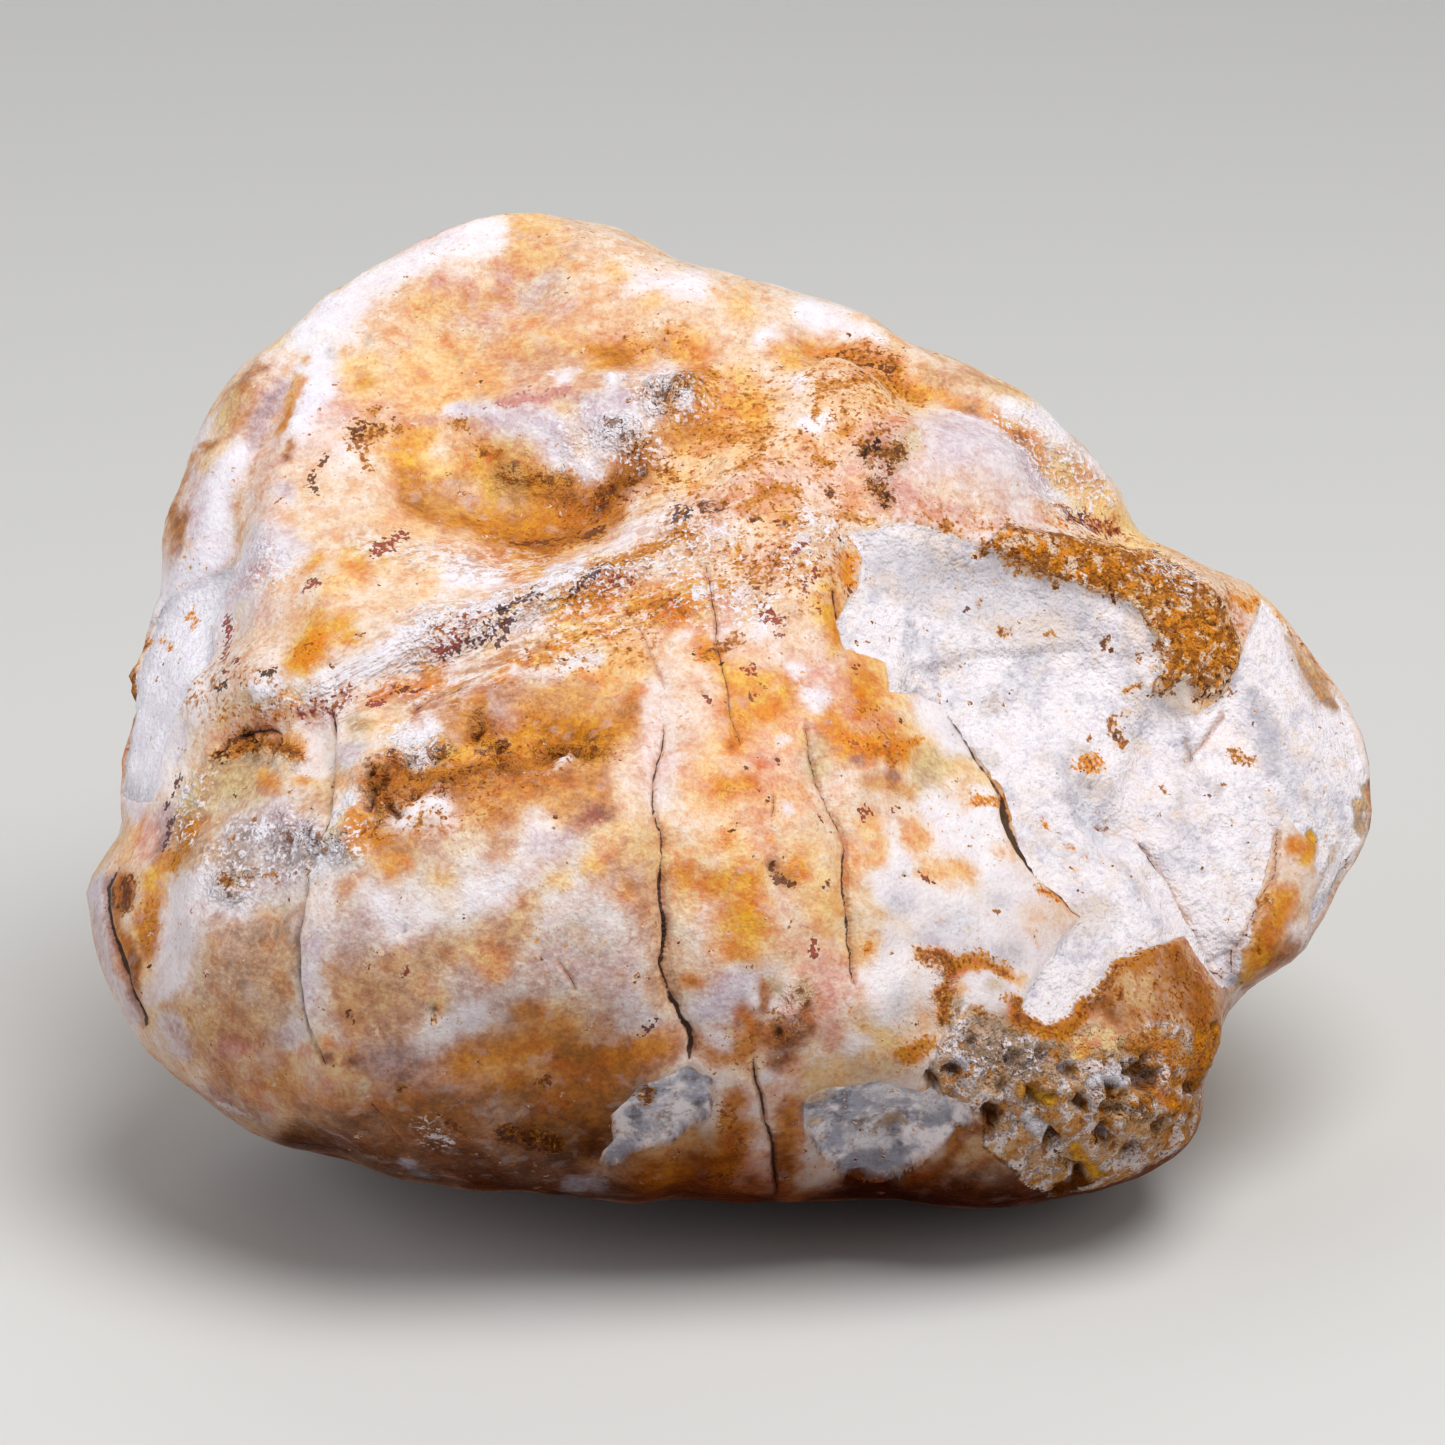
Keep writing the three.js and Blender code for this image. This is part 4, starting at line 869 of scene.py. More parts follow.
# Folds, raised or (below 0) sunk: half-width in mm, height in mm, and the line.
FOLDS = marks(front=[
    (1.2, 0.45, [(640, 562), (560, 578), (480, 604), (400, 642), (335, 680)]),
    (0.9, -0.4, [(700, 508), (640, 540), (560, 556), (480, 585), (400, 618)]),
    (0.7, -0.35, [(650, 585), (560, 606), (500, 640), (430, 664), (380, 684)]),
    (0.9, 0.35, [(660, 625), (580, 652), (500, 676), (430, 690)]),
    (1.7, -0.7, [(375, 800), (410, 765), (480, 742), (560, 738), (620, 745)]),
    (0.6, 0.35, [(420, 712), (500, 694), (580, 690), (635, 702), (648, 730)]),
    (3.0, 0.5, [(380, 860), (470, 828), (560, 812), (630, 815)]),
    (1.6, 0.4, [(735, 740), (740, 850), (755, 950), (760, 1010)]),
    (0.9, -0.35, [(665, 700), (661, 745), (653, 773), (665, 837), (668, 921), (668, 975), (690, 1050)]),
    (0.8, -0.3, [(806, 717), (820, 780), (849, 845), (850, 921), (856, 990)]),
    (1.1, -0.5, [(300, 375), (265, 420), (240, 480), (228, 540), (210, 600)]),
    (1.0, 0.35, [(335, 330), (308, 390), (285, 450), (268, 520), (262, 580)]),
    (0.8, -0.4, [(895, 385), (960, 398), (1015, 430), (1060, 478), (1105, 508)]),
    (0.6, 0.3, [(910, 372), (975, 386), (1040, 415), (1090, 470), (1135, 520)]),
    (1.3, -0.35, [(600, 352), (700, 350), (800, 354), (890, 376)]),
    (2.0, 0.4, [(690, 430), (760, 480), (790, 560), (790, 640)]),
    (1.3, -0.45, [(332, 700), (322, 760), (318, 830), (296, 900), (290, 980), (312, 1050)]),
    (1.6, -0.35, [(430, 1045), (520, 1035), (600, 1045), (660, 1040)]),
    (1.2, 0.35, [(225, 740), (200, 800), (190, 880), (200, 960)]),
    (1.2, -0.4, [(855, 670), (890, 700), (930, 750), (930, 790)]),
    (1.0, 0.3, [(850, 1010), (900, 1000), (930, 960)]), (1.0, -0.3, [(440, 300), (500, 284), (560, 300)]),
    (1.4, 0.3, [(420, 330), (500, 325), (580, 345)]),
], back=[
    (1.6, 0.5, [(420, 720), (560, 660), (720, 620)]), (1.4, -0.5, [(600, 900), (700, 960), (840, 980)]),
    (1.2, -0.4, [(900, 560), (1000, 640), (1060, 740)]),
    (1.0, 0.35, [(480, 980), (600, 1040), (740, 1060)]),
], left=[
    (1.4, 0.4, [(600, 860), (680, 840), (780, 800)]), (1.2, -0.4, [(560, 920), (660, 960), (760, 940)]),
], right=[
    (1.6, 0.45, [(640, 760), (740, 800), (860, 800)]), (1.3, -0.5, [(700, 880), (780, 920), (860, 900)]),
    (1.0, -0.35, [(820, 600), (860, 700), (900, 780)]),
])

# Small pits and lumps: radius in mm, depth (below 0) or height in mm, and the spot.
DIMPLES = marks(front=[
    (4.0, -0.8, (505, 485)), (2.6, -0.6, (590, 478)), (2.4, -0.4, (430, 470)), (2.6, 0.5, (530, 425)),
    (1.6, 0.45, (625, 425)), (1.3, 0.4, (682, 395)), (2.6, -0.45, (510, 290)), (2.0, -0.3, (455, 350)),
    (2.2, -0.4, (750, 400)), (1.8, 0.35, (450, 560)), (1.6, 0.3, (330, 600)), (1.4, -0.3, (280, 640)),
    (1.3, 0.3, (690, 600)), (1.6, -0.3, (700, 480)), (1.8, 0.35, (860, 610)), (2.2, 0.4, (1000, 450)),
    (0.3, -0.5, (397, 815)), (0.28, -0.4, (500, 768)), (0.3, -0.4, (440, 795)), (0.5, 0.45, (563, 768)),
    (0.45, 0.35, (494, 777)), (0.8, 0.35, (680, 399)), (0.9, 0.4, (618, 434)), (0.6, 0.3, (569, 443)),
    (0.5, 0.45, (655, 388)), (0.5, 0.4, (600, 450)), (0.4, 0.45, (612, 379)), (0.35, 0.4, (684, 406)),
    (0.4, 0.4, (640, 408)), (0.45, 0.45, (585, 462)), (0.4, 0.4, (560, 430)), (0.7, 0.3, (435, 812)),
    (0.5, 0.3, (355, 849)), (0.35, 0.3, (403, 740)), (0.35, -0.4, (770, 868)), (0.3, -0.3, (880, 454)),
    (0.3, -0.35, (884, 490)), (0.3, -0.3, (640, 460)), (0.25, -0.3, (612, 478)), (0.3, -0.3, (246, 700)),
    (0.3, -0.3, (208, 686)), (0.25, -0.3, (372, 418)), (0.25, -0.3, (362, 432)), (0.9, -0.3, (892, 1132)),
    (0.35, 0.35, (905, 1132)), (0.3, -0.4, (720, 503)), (0.4, -0.3, (1106, 640)),
    (0.25, -0.25, (1139, 654)), (0.5, -0.3, (1100, 782)), (0.35, -0.4, (432, 1010)),
    (0.25, -0.3, (403, 930)), (0.4, 0.2, (816, 694)),
], back=[
    (2.2, -0.6, (640, 760)), (1.8, 0.5, (860, 760)), (1.4, -0.45, (1000, 900)), (2.4, 0.5, (560, 900)),
    (0.4, -0.4, (760, 820)), (0.35, -0.35, (700, 560)), (0.4, -0.4, (940, 700)), (0.5, -0.4, (620, 980)),
], left=[
    (1.8, -0.5, (700, 700)), (0.4, -0.4, (740, 860)), (0.35, -0.35, (620, 660)),
], right=[
    (2.0, -0.5, (720, 720)), (1.6, 0.45, (840, 860)), (0.4, -0.4, (760, 860)), (0.35, -0.35, (700, 800)),
    (0.4, -0.35, (820, 760)), (0.5, -0.4, (660, 860)),
])

# Steep-walled holes: radius in mm, depth in mm, and the spot.
HOLES = marks(front=[
    (0.95, 1.5, (1145, 1071)), (0.6, 1.1, (1164, 1125)), (0.55, 1.0, (1103, 1136)),
    (0.5, 0.8, (1084, 1106)), (0.55, 1.0, (1053, 1140)), (0.6, 1.0, (992, 1117)), (0.5, 0.9, (931, 1083)),
    (0.6, 0.9, (954, 1068)), (0.5, 1.0, (1130, 1150)), (0.4, 0.7, (1032, 1092)), (0.35, 0.6, (1010, 1060)),
    (0.4, 0.6, (1068, 1068)), (0.35, 0.6, (1190, 1088)), (0.3, 0.5, (1110, 1090)),
    (0.45, 0.7, (1080, 1170)), (0.3, 0.5, (975, 1040)), (0.28, 0.4, (1000, 1085)), (0.3, 0.5, (1120, 1110)),
    (0.42, 0.7, (476, 724)), (0.36, 0.6, (500, 741)), (0.26, 0.5, (495, 753)), (0.5, 0.6, (561, 752)),
    (0.32, 0.45, (576, 748)), (0.42, 0.8, (373, 792)), (0.32, 0.7, (367, 805)), (0.3, 0.6, (381, 783)),
    (0.3, 0.5, (369, 771)), (0.34, 0.5, (410, 797)), (0.22, 0.4, (421, 771)), (0.24, 0.4, (457, 782)),
    (0.22, 0.4, (590, 752)), (0.26, 0.5, (341, 801)), (0.22, 0.4, (336, 831)), (0.24, 0.35, (440, 815)),
], back=[
    (0.7, 1.0, (480, 900)), (0.5, 0.8, (520, 930)), (0.4, 0.6, (500, 960)),
], right=[
    (0.6, 0.9, (560, 1000)), (0.45, 0.7, (600, 1040)), (0.4, 0.6, (540, 1050)),
])

# Sugary skin, rougher, with painted white glints: half-width in pixels, and the line.
SUGAR = marks(front=[
    (22, [(420, 640), (500, 610), (560, 590), (640, 560)]), (16, [(560, 590), (620, 572)]),
    (30, [(300, 840), (250, 850), (230, 880)]), (18, [(350, 850), (345, 810)]),
    (20, [(650, 400), (690, 395)]), (22, [(590, 430), (640, 440)]), (14, [(260, 700), (350, 690)]),
    (26, [(680, 560), (720, 540)]), (26, [(800, 560), (820, 540)]), (14, [(200, 780), (190, 830)]),
    (26, [(1020, 430), (1080, 500)]), (20, [(270, 560), (240, 580)]), (14, [(440, 1140), (430, 1130)]),
    (20, [(1030, 1060), (960, 1060)]), (16, [(390, 740), (420, 735)]), (24, [(760, 610), (700, 600)]),
    (16, [(1150, 560), (1180, 580)]),
], back=[
    (60, [(640, 760), (760, 720)]), (50, [(980, 960), (1050, 900)]),
], right=[
    (50, [(640, 800), (700, 720)]),
])

# Rugged pitted skin, in the same way.
RUGGED = marks(front=[
    (16, [(385, 800), (370, 780), (400, 765), (440, 745)]), (12, [(480, 722), (500, 745), (515, 765)]),
    (16, [(545, 748), (590, 746)]), (12, [(440, 780), (480, 775)]),
    (10, [(246, 732), (225, 745), (214, 756)]), (10, [(250, 745), (285, 743)]),
    (12, [(600, 488), (640, 470)]), (10, [(500, 462), (560, 470)]),
    (12, [(870, 455), (892, 460), (884, 492)]), (10, [(655, 398), (690, 385)]),
    (10, [(610, 430), (640, 445)]), (14, [(290, 830), (340, 840)]), (10, [(235, 870), (225, 890)]),
    (9, [(500, 1132), (560, 1142)]), (12, [(940, 965), (950, 1010)]), (12, [(790, 1030), (800, 990)]),
    (9, [(1100, 1100), (1160, 1110)]),
], back=[
    (20, [(760, 600), (860, 580)]), (16, [(460, 960), (520, 990)]),
], left=[
    (16, [(660, 900), (720, 940)]),
], right=[
    (18, [(700, 930), (800, 960)]),
])

# Skin streaked along the folds, in the same way.
STREAKY = marks(front=[
    (30, [(340, 690), (430, 645), (520, 605), (620, 560), (690, 520)]),
    (22, [(420, 695), (520, 655), (640, 612)]), (14, [(360, 540), (460, 565), (540, 555)]),
], back=[
    (40, [(420, 720), (560, 640), (720, 600)]),
])

# Speckled skin with dark pinholes, in the same way.
SPECKS = marks(front=[
    (40, [(680, 400), (770, 400), (860, 385)]), (50, [(760, 430), (740, 520), (700, 480)]),
    (50, [(820, 440), (800, 560)]), (20, [(560, 500), (620, 490)]), (50, [(1080, 570), (1190, 620)]),
    (34, [(620, 630), (560, 650)]), (30, [(210, 690), (250, 700)]), (40, [(920, 555), (1000, 560)]),
    (30, [(1100, 760), (1190, 800)]), (40, [(420, 800), (520, 760)]), (40, [(1290, 720), (1300, 660)]),
    (14, [(620, 340), (680, 335)]), (40, [(1180, 960), (1190, 1060)]),
], back=[
    (80, [(700, 600), (900, 620)]), (60, [(450, 900), (560, 1000)]),
], left=[
    (60, [(760, 900), (700, 960)]),
], right=[
    (60, [(800, 900), (700, 940)]),
])


# ---------------------------------------------------------------- where the skin lies in the views


def smooth(low, high, value):
    """A soft rise from 0 at low to 1 at high."""
    part = np.clip((value - low) / (high - low), 0, 1)
    return part * part * (3 - 2 * part)


def to_camera(view):
    """The way from the stone to a view's camera."""
    azimuth, elevation = (math.radians(angle) for angle in VIEWS[view])
    return (
        math.sin(azimuth) * math.cos(elevation),
        -math.cos(azimuth) * math.cos(elevation),
        math.sin(elevation),
    )


def in_view(points, normals, view):
    """Where points lie in a view, in pixels, and how squarely each faces its camera."""
    azimuth = math.radians(VIEWS[view][0])
    back = np.array(to_camera(view))
    right = np.array((math.cos(azimuth), math.sin(azimuth), 0.0))
    up = np.cross(back, right)
    offsets = points - np.array(CAMERA_TARGET)
    ways = back * CAMERA_DISTANCE - offsets
    flat = np.stack((offsets @ right, -(offsets @ up)), axis=1)
    spots = VIEW_MIDDLE + FOCAL * flat / (ways @ back)[:, None]
    facing = np.einsum("ij,ij->i", normals, ways) / np.linalg.norm(ways, axis=1)
    return spots, facing


# Marks on the sides and the back are moved by noise this many times more than those on the front.
LOOSER_BEHIND = 4.0


def in_views(points, normals, wander=0.0):
    """For each view: the points' spots in it, and how much each takes of the marks there.

    The spots are moved by wander, a little noise, so that no mark keeps a ruled edge.
    """
    spots, facing = in_view(points, normals, "front")
    front = smooth(0.0, 0.15, facing)
    found = {"front": (spots + wander, front)}
    for view in ("back", "left", "right", "top"):
        spots, facing = in_view(points, normals, view)
        found[view] = (spots + wander * LOOSER_BEHIND, (1 - front) * smooth(0.1, 0.4, facing))
    return found


def from_line(spots, line, reach):
    """How far spots are from a line, up to reach, in pixels, on which side, and how far along, 0 to 1."""
    away = np.full(len(spots), float(reach))
    side = np.ones(len(spots))
    along = np.zeros(len(spots))
    corners = np.array(line, float)
    near = np.all((spots > corners.min(0) - reach) & (spots < corners.max(0) + reach), axis=1)
    if not near.any():
        return away, side, along
    close = spots[near]
    if len(corners) == 1:
        away[near] = np.minimum(np.hypot(*(close - corners[0]).T), reach)
        return away, side, along
    steps = np.diff(corners, axis=0)
    lengths = np.hypot(*steps.T)
    best, best_side, best_along, begun = away[near], side[near], along[near], 0.0
    for start, step, long in zip(corners, steps, lengths):
        part = np.clip((close - start) @ step / long**2, 0, 1)
        gap = close - start - part[:, None] * step
        gap_length = np.hypot(*gap.T)
        nearer = gap_length < best
        best[nearer] = gap_length[nearer]
        best_side[nearer] = np.sign(step[0] * gap[:, 1] - step[1] * gap[:, 0])[nearer]
        best_along[nearer] = ((begun + part * long) / lengths.sum())[nearer]
        begun += long
    away[near], side[near], along[near] = best, best_side, best_along
    return away, side, along


def inside_outline(spots, outline, reach):
    """How far inside an outline spots are, in pixels, below 0 outside."""
    closed = outline + outline[:1]
    away = from_line(spots, closed, reach)[0]
    inside = np.zeros(len(spots), bool)
    across, down = spots.T
    for (x1, y1), (x2, y2) in zip(closed, closed[1:]):
        if y1 != y2:
            inside ^= ((y1 > down) != (y2 > down)) & (across < x1 + (down - y1) * (x2 - x1) / (y2 - y1))
    return np.where(inside, away, -away)


def waves(points, size, octaves=1, seed=0):
    """Noise about -1 to 1 whose lumps are about size across, in the points' unit."""
    shift = Vector((17.3, 5.1, -9.7)) * seed
    return np.array([noise.fractal(Vector(point) + shift, 1.0, 2.0, octaves) for point in points / size])


def cells(points, size, seed=0):
    """Distance from the nearest and the next nearest of scattered centres about size apart, in sizes."""
    shift = Vector((3.7, -8.3, 11.9)) * seed
    found = [noise.voronoi(Vector(point) + shift)[0][:2] for point in points / size]
    return np.array(found).T


def wandering(points, broad, fine):
    """Noise to move spots by, in pixels: how much in lumps of 3.2 mm, and how much in lumps of 0.9 mm."""
    wide = np.stack([waves(points, 3.2, 2, seed) for seed in (1, 2)], axis=1)
    close = np.stack([waves(points, 0.9, 2, seed) for seed in (3, 4)], axis=1)
    return wide * broad + close * fine


# ---------------------------------------------------------------- the skin's mesh

# How far from a mark the mesh is fine, in pixels, and how far points are measured.
NEAR_LEDGE = 9
NEAR_CRACK = 7
NEAR_EDGE = 7
NEAR_STREAK = 5
ROUND_FACE = 8
SEARCH = 40

# An edge is cut when it is this many times longer than wanted.
LONGEST = 1.4
CUTTING_ROUNDS = 5
EVENING_ROUNDS = 3


def finer_near(found, sizes):
    """The edge length wanted at each point, in mm: short near what is fine."""
    plain, front_edge, fine = sizes.plain_edge / MM, sizes.front_edge / MM, sizes.fine_edge / MM
    wanted = np.full(len(found["front"][1]), plain)
    wanted[found["front"][1] > 0.2] = front_edge
    for view, (spots, weight) in found.items():
        shown = weight > 0.3
        for height, fade, line in LEDGES[view]:
            wanted[shown & (from_line(spots, line, SEARCH)[0] < NEAR_LEDGE)] = fine
        for half_width, depth, line in CRACKS[view]:
            wanted[shown & (from_line(spots, line, SEARCH)[0] < NEAR_CRACK)] = fine * 0.8
        for outline in FRACTURES[view] + PITS[view] + CRUSTS[view]:
            wanted[shown & (np.abs(inside_outline(spots, outline, SEARCH)) < NEAR_EDGE)] = fine
        for outline in CRUSTS[view] + POROUS[view] + PITS[view]:
            wanted[shown & (inside_outline(spots, outline, SEARCH) > -ROUND_FACE)] = fine
        for radius, depth, spot in HOLES[view] + DIMPLES[view]:
            if radius < 1:
                away = from_line(spots, [spot], SEARCH * 1.5)[0]
                wanted[shown & (away < radius * PX_PER_MM * 1.5)] = fine
        for half_width, line in RUGGED[view] + SUGAR[view]:
            close = shown & (from_line(spots, line, SEARCH * 2)[0] < half_width * 1.5)
            wanted[close] = np.minimum(wanted[close], fine * 1.6)
        for name, strength, strokes in STREAKS[view]:
            for stroke in strokes:
                away = from_line(spots, line_of(stroke), SEARCH / 2)[0]
                close = shown & (away < stroke[0] + NEAR_STREAK)
                wanted[close] = np.minimum(wanted[close], fine * 1.2)
    return wanted


def mesh_points(shape):
    """A bmesh's points in mm and its normals."""
    points = np.array([vert.co for vert in shape.verts], float) / MM
    normals = np.array([vert.normal for vert in shape.verts], float)
    return points, normals


def refine(shape, sizes):
    """Cuts the edges that are longer than wanted where they are, and says how many."""
    shape.verts.ensure_lookup_table()
    shape.verts.index_update()
    points, normals = mesh_points(shape)
    edges = list(shape.edges)
    ends = np.array([(edge.verts[0].index, edge.verts[1].index) for edge in edges])
    middles = points[ends].mean(axis=1)
    ways = normals[ends].mean(axis=1)
    lengths = np.linalg.norm(points[ends[:, 0]] - points[ends[:, 1]], axis=1)
    wanted = finer_near(in_views(middles, ways), sizes)
    long = [edge for edge, cut in zip(edges, lengths > wanted * LONGEST) if cut]
    if long:
        bmesh.ops.subdivide_edges(shape, edges=long, cuts=1, smooth=0.0, use_grid_fill=True)
        many_sided = [face for face in shape.faces if len(face.verts) > 3]
        bmesh.ops.triangulate(shape, faces=many_sided, quad_method="BEAUTY", ngon_method="BEAUTY")
    shape.normal_update()
    return len(long)


def evened(shape):
    """Slides the points along the skin towards the middle of their neighbours, so no face is a sliver."""
    shape.verts.ensure_lookup_table()
    shape.verts.index_update()
    points, normals = mesh_points(shape)
    ends = np.array([(edge.verts[0].index, edge.verts[1].index) for edge in shape.edges])
    one, other = np.concatenate((ends, ends[:, ::-1])).T
    neighbours = np.bincount(one, minlength=len(points))[:, None]
    for round_number in range(EVENING_ROUNDS):
        sums = np.stack([np.bincount(one, points[other, axis], len(points)) for axis in range(3)], axis=1)
        pull = sums / neighbours - points
        pull -= np.einsum("ij,ij->i", pull, normals)[:, None] * normals
        points += pull * 0.5
    for vert, place in zip(shape.verts, points * MM):
        vert.co = place
    shape.normal_update()


def skin_shape(sizes):
    """The CAD solid's surface, rounded and cut finer where the stone is fine."""
    shape = bmesh.new()
    shape.from_mesh(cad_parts["nodule"].data)
    bmesh.ops.remove_doubles(shape, verts=shape.verts, dist=1e-6)
    bmesh.ops.subdivide_edges(shape, edges=shape.edges, cuts=1, smooth=1.0, use_grid_fill=True)
    bmesh.ops.smooth_vert(
        shape, verts=shape.verts, factor=0.5, use_axis_x=True, use_axis_y=True, use_axis_z=True
    )
    shape.normal_update()
    for round_number in range(CUTTING_ROUNDS):
        if not refine(shape, sizes):
            break
    evened(shape)
    return shape


# ---------------------------------------------------------------- the skin's relief, in mm

# The least that a view can take of a mark, and how far inside an outline a point is that is far from it.
SEEN = 0.02
OUTSIDE = -2.0

# How far from a mark points are measured, in pixels.
OUTLINE_REACH = 60
LEDGE_REACH = 240
CRACK_REACH = 40
HOLE_REACH = 80


def outlined(found, outlines):
    """How far inside the outlines each point is, below 0 outside."""
    inner = np.full(len(found["front"][1]), OUTSIDE)
    for view, (spots, weight) in found.items():
        for outline in outlines[view]:
            inside = inside_outline(spots, outline, OUTLINE_REACH) / PX_PER_MM
            inner = np.maximum(inner, np.where(weight > SEEN, inside, OUTSIDE) - (1 - weight))
    return inner


def stepped(found):
    """How far the skin drops at the ledges."""
    drop = np.zeros(len(found["front"][1]))
    for view, (spots, weight) in found.items():
        for height, fade, line in LEDGES[view]:
            away, side, along = from_line(spots, line, LEDGE_REACH)
            across = away * side / PX_PER_MM
            ends = smooth(0, 0.1, along) * smooth(0, 0.1, 1 - along)
            step = smooth(-0.07, 0.13, across) * np.exp(-np.maximum(across, 0) / fade)
            drop += height * ends * step * (away < LEDGE_REACH - 1) * weight
    return drop


def cracked(found):
    """The cracks' grooves as a share of the deepest, how far the nearest crack is and on which side,
    and how wide it is open there."""
    count = len(found["front"][1])
    grooves, nearest, wide_open = np.zeros(count), np.full(count, 1.0), np.full(count, -1.0)
    for view, (spots, weight) in found.items():
        for half_width, depth_share, line in CRACKS[view]:
            away, side, along = from_line(spots, line, CRACK_REACH)
            taper = 0.35 + 0.65 * smooth(0, 0.15, along) * smooth(0, 0.15, 1 - along)
            across = away / PX_PER_MM
            grooves += depth_share * np.exp(-((across / (half_width * 0.8 + 0.09)) ** 2)) * taper * weight
            past_end = (along <= 0) | (along >= 1)
            open_here = half_width * taper - np.maximum(across - 0.2, 0) * 3
            open_here -= (1 - weight) * 2 + past_end * across * 3
            nearer = across < np.abs(nearest)
            nearest = np.where(nearer, across * side, nearest)
            wide_open = np.where(nearer, open_here, wide_open)
    return grooves, nearest, wide_open


def folded(found):
    """How high the folds stand."""
    high = np.zeros(len(found["front"][1]))
    for view, (spots, weight) in found.items():
        for half_width, height, line in FOLDS[view]:
            reach = half_width * 2.4 * PX_PER_MM
            away, side, along = from_line(spots, line, reach)
            taper = smooth(-0.05, 0.2, along) * smooth(-0.05, 0.2, 1 - along)
            fold = height * np.exp(-((away / PX_PER_MM / half_width) ** 2)) * taper
            high += fold * (away < reach) * weight
    return high


def dimpled(found):
    """How high the lumps stand, below 0 in pits, and how hollow the small pits are, 0 to 1."""
    count = len(found["front"][1])
    high, hollow = np.zeros(count), np.zeros(count)
    for view, (spots, weight) in found.items():
        for radius, height, spot in DIMPLES[view]:
            away = from_line(spots, [spot], radius * 2.6 * PX_PER_MM)[0]
            bump = np.exp(-((away / PX_PER_MM / radius) ** 2)) * weight
            high += height * bump
            if height < 0 and radius < 1:
                hollow = np.maximum(hollow, -height * bump * 1.6)
    return high, hollow


def holed(points, found):
    """How deep the steep-walled holes are, and how hollow they are."""
    deep, hollow = np.zeros(len(points)), np.zeros(len(points))
    crooked = waves(points, 0.8, 3, 9) * 0.6
    for view, (spots, weight) in found.items():
        for radius, depth, spot in HOLES[view]:
            across = from_line(spots, [spot], HOLE_REACH)[0] / PX_PER_MM / radius
            hole = depth * smooth(1.15, 0.5, across + crooked) * weight
            deep += hole
            hollow = np.maximum(hollow, hole)
    return deep, hollow


def relief(points, found, sizes):
    """How far the skin stands out at each point, with what the paint needs to know of it."""
    crooked = points + np.stack([waves(points, 1.3, 3, seed) for seed in (14, 15, 16)], axis=1) * 0.45
    big_cells = cells(crooked, 1.9, 1)[0]
    small_cells = cells(crooked, 0.8, 2)[0]
    chips = cells(points * (1, 1, 1.3), 2.6, 3)
    inner = {
        "fracture": outlined(found, FRACTURES),
        "crust": outlined(found, CRUSTS),
        "pit": outlined(found, PITS),
        "porous": outlined(found, POROUS),
    }
    grooves, nearest_crack, crack_open = cracked(found)
    bumps, small_pits = dimpled(found)
    holes, hole_hollow = holed(points, found)

    raised = waves(points, 4.5, 3, 5) * sizes.swell / MM + waves(points, 1.1, 3, 6) * sizes.grain / MM
    raised += folded(found) + bumps - stepped(found) - grooves * sizes.crack_depth / MM - holes

    fracture = smooth(-0.1, 0.14, inner["fracture"])
    raised -= fracture * (0.26 + 0.1 * (chips[1] - chips[0]) + 0.1 * waves(points, 1.6, 3, 8))
    crust = smooth(-0.1, 0.16, inner["crust"])
    raised += crust * (0.2 + 0.3 * (0.6 - small_cells) + 0.1 * waves(points, 0.5, 2, 10))
    rugged = touched(found, RUGGED)
    lumpy = cells(crooked, 1.15, 4)[0]
    raised += rugged * (0.2 - 0.8 * smooth(0.42, 0.12, lumpy) + 0.35 * waves(points, 0.8, 4, 17))
    sugary = touched(found, SUGAR)
    raised += sugary * 0.2 * waves(points, 0.8, 4, 18)
    pit = smooth(-0.05, 0.12, inner["pit"])
    raised -= pit * (0.45 + 0.45 * (chips[0] - 0.3) + 0.12 * waves(points, 1.0, 3, 11))
    porous = smooth(-0.15, 0.3, inner["porous"])
    vug = smooth(0.44, 0.18, big_cells) * sizes.vug_depth / MM + smooth(0.42, 0.12, small_cells) * 0.35
    vug *= smooth(-0.25, 0.25, waves(points, 4.0, 2, 19))
    raised -= porous * (vug + 0.22 * waves(points, 0.8, 4, 12))

    hollow = np.maximum(small_pits, hole_hollow)
    hollow = np.maximum(hollow, rugged * smooth(0.36, 0.12, lumpy))
    hollow = np.maximum(hollow, porous * vug)
    return raised, {
        "fracture": inner["fracture"],
        "crust": smooth(-1.0, 1.0, inner["crust"]),
        "pit": smooth(-0.3, 0.3, inner["pit"]),
        "porous": smooth(-1.0, 1.0, inner["porous"]),
        "crack": nearest_crack,
        "crack_open": crack_open,
        "hollow": hollow,
    }


# ---------------------------------------------------------------- the skin's paint


def line_of(stroke):
    """The places a brush stroke runs through."""
    return np.reshape(stroke[1:], (-1, 2))


def brushed(found, strokes_by_view, colours, soft, start=None):
    """Brushes strokes over one another: the coat's colour, and how much it covers, at every point.

    A soft brush fades from its middle out, and a hard one holds its strength over its whole width.
    """
    count = len(found["front"][1])
    coat = np.zeros((count, 3)) if start is None else start.copy()
    cover = np.zeros(count)
    for view, (spots, weight) in found.items():
        for name, strength, strokes in strokes_by_view[view]:
            paint = np.array(getattr(colours, name))
            for stroke in strokes:
                half_width = stroke[0] + (0 if soft else 0.8)
                away = from_line(spots, line_of(stroke), half_width * 2.2 + 2)[0] / half_width
                shape = smooth(1.9, 0.3, away) if soft else smooth(2.0, 0.0, away)
                taken = strength * shape * weight
                share_new = taken if soft else smooth(1.9, 0.9, away) * smooth(0, 0.3, weight)
                coat += (paint - coat) * share_new[:, None]
                cover = np.maximum(cover, taken)
    return coat, cover


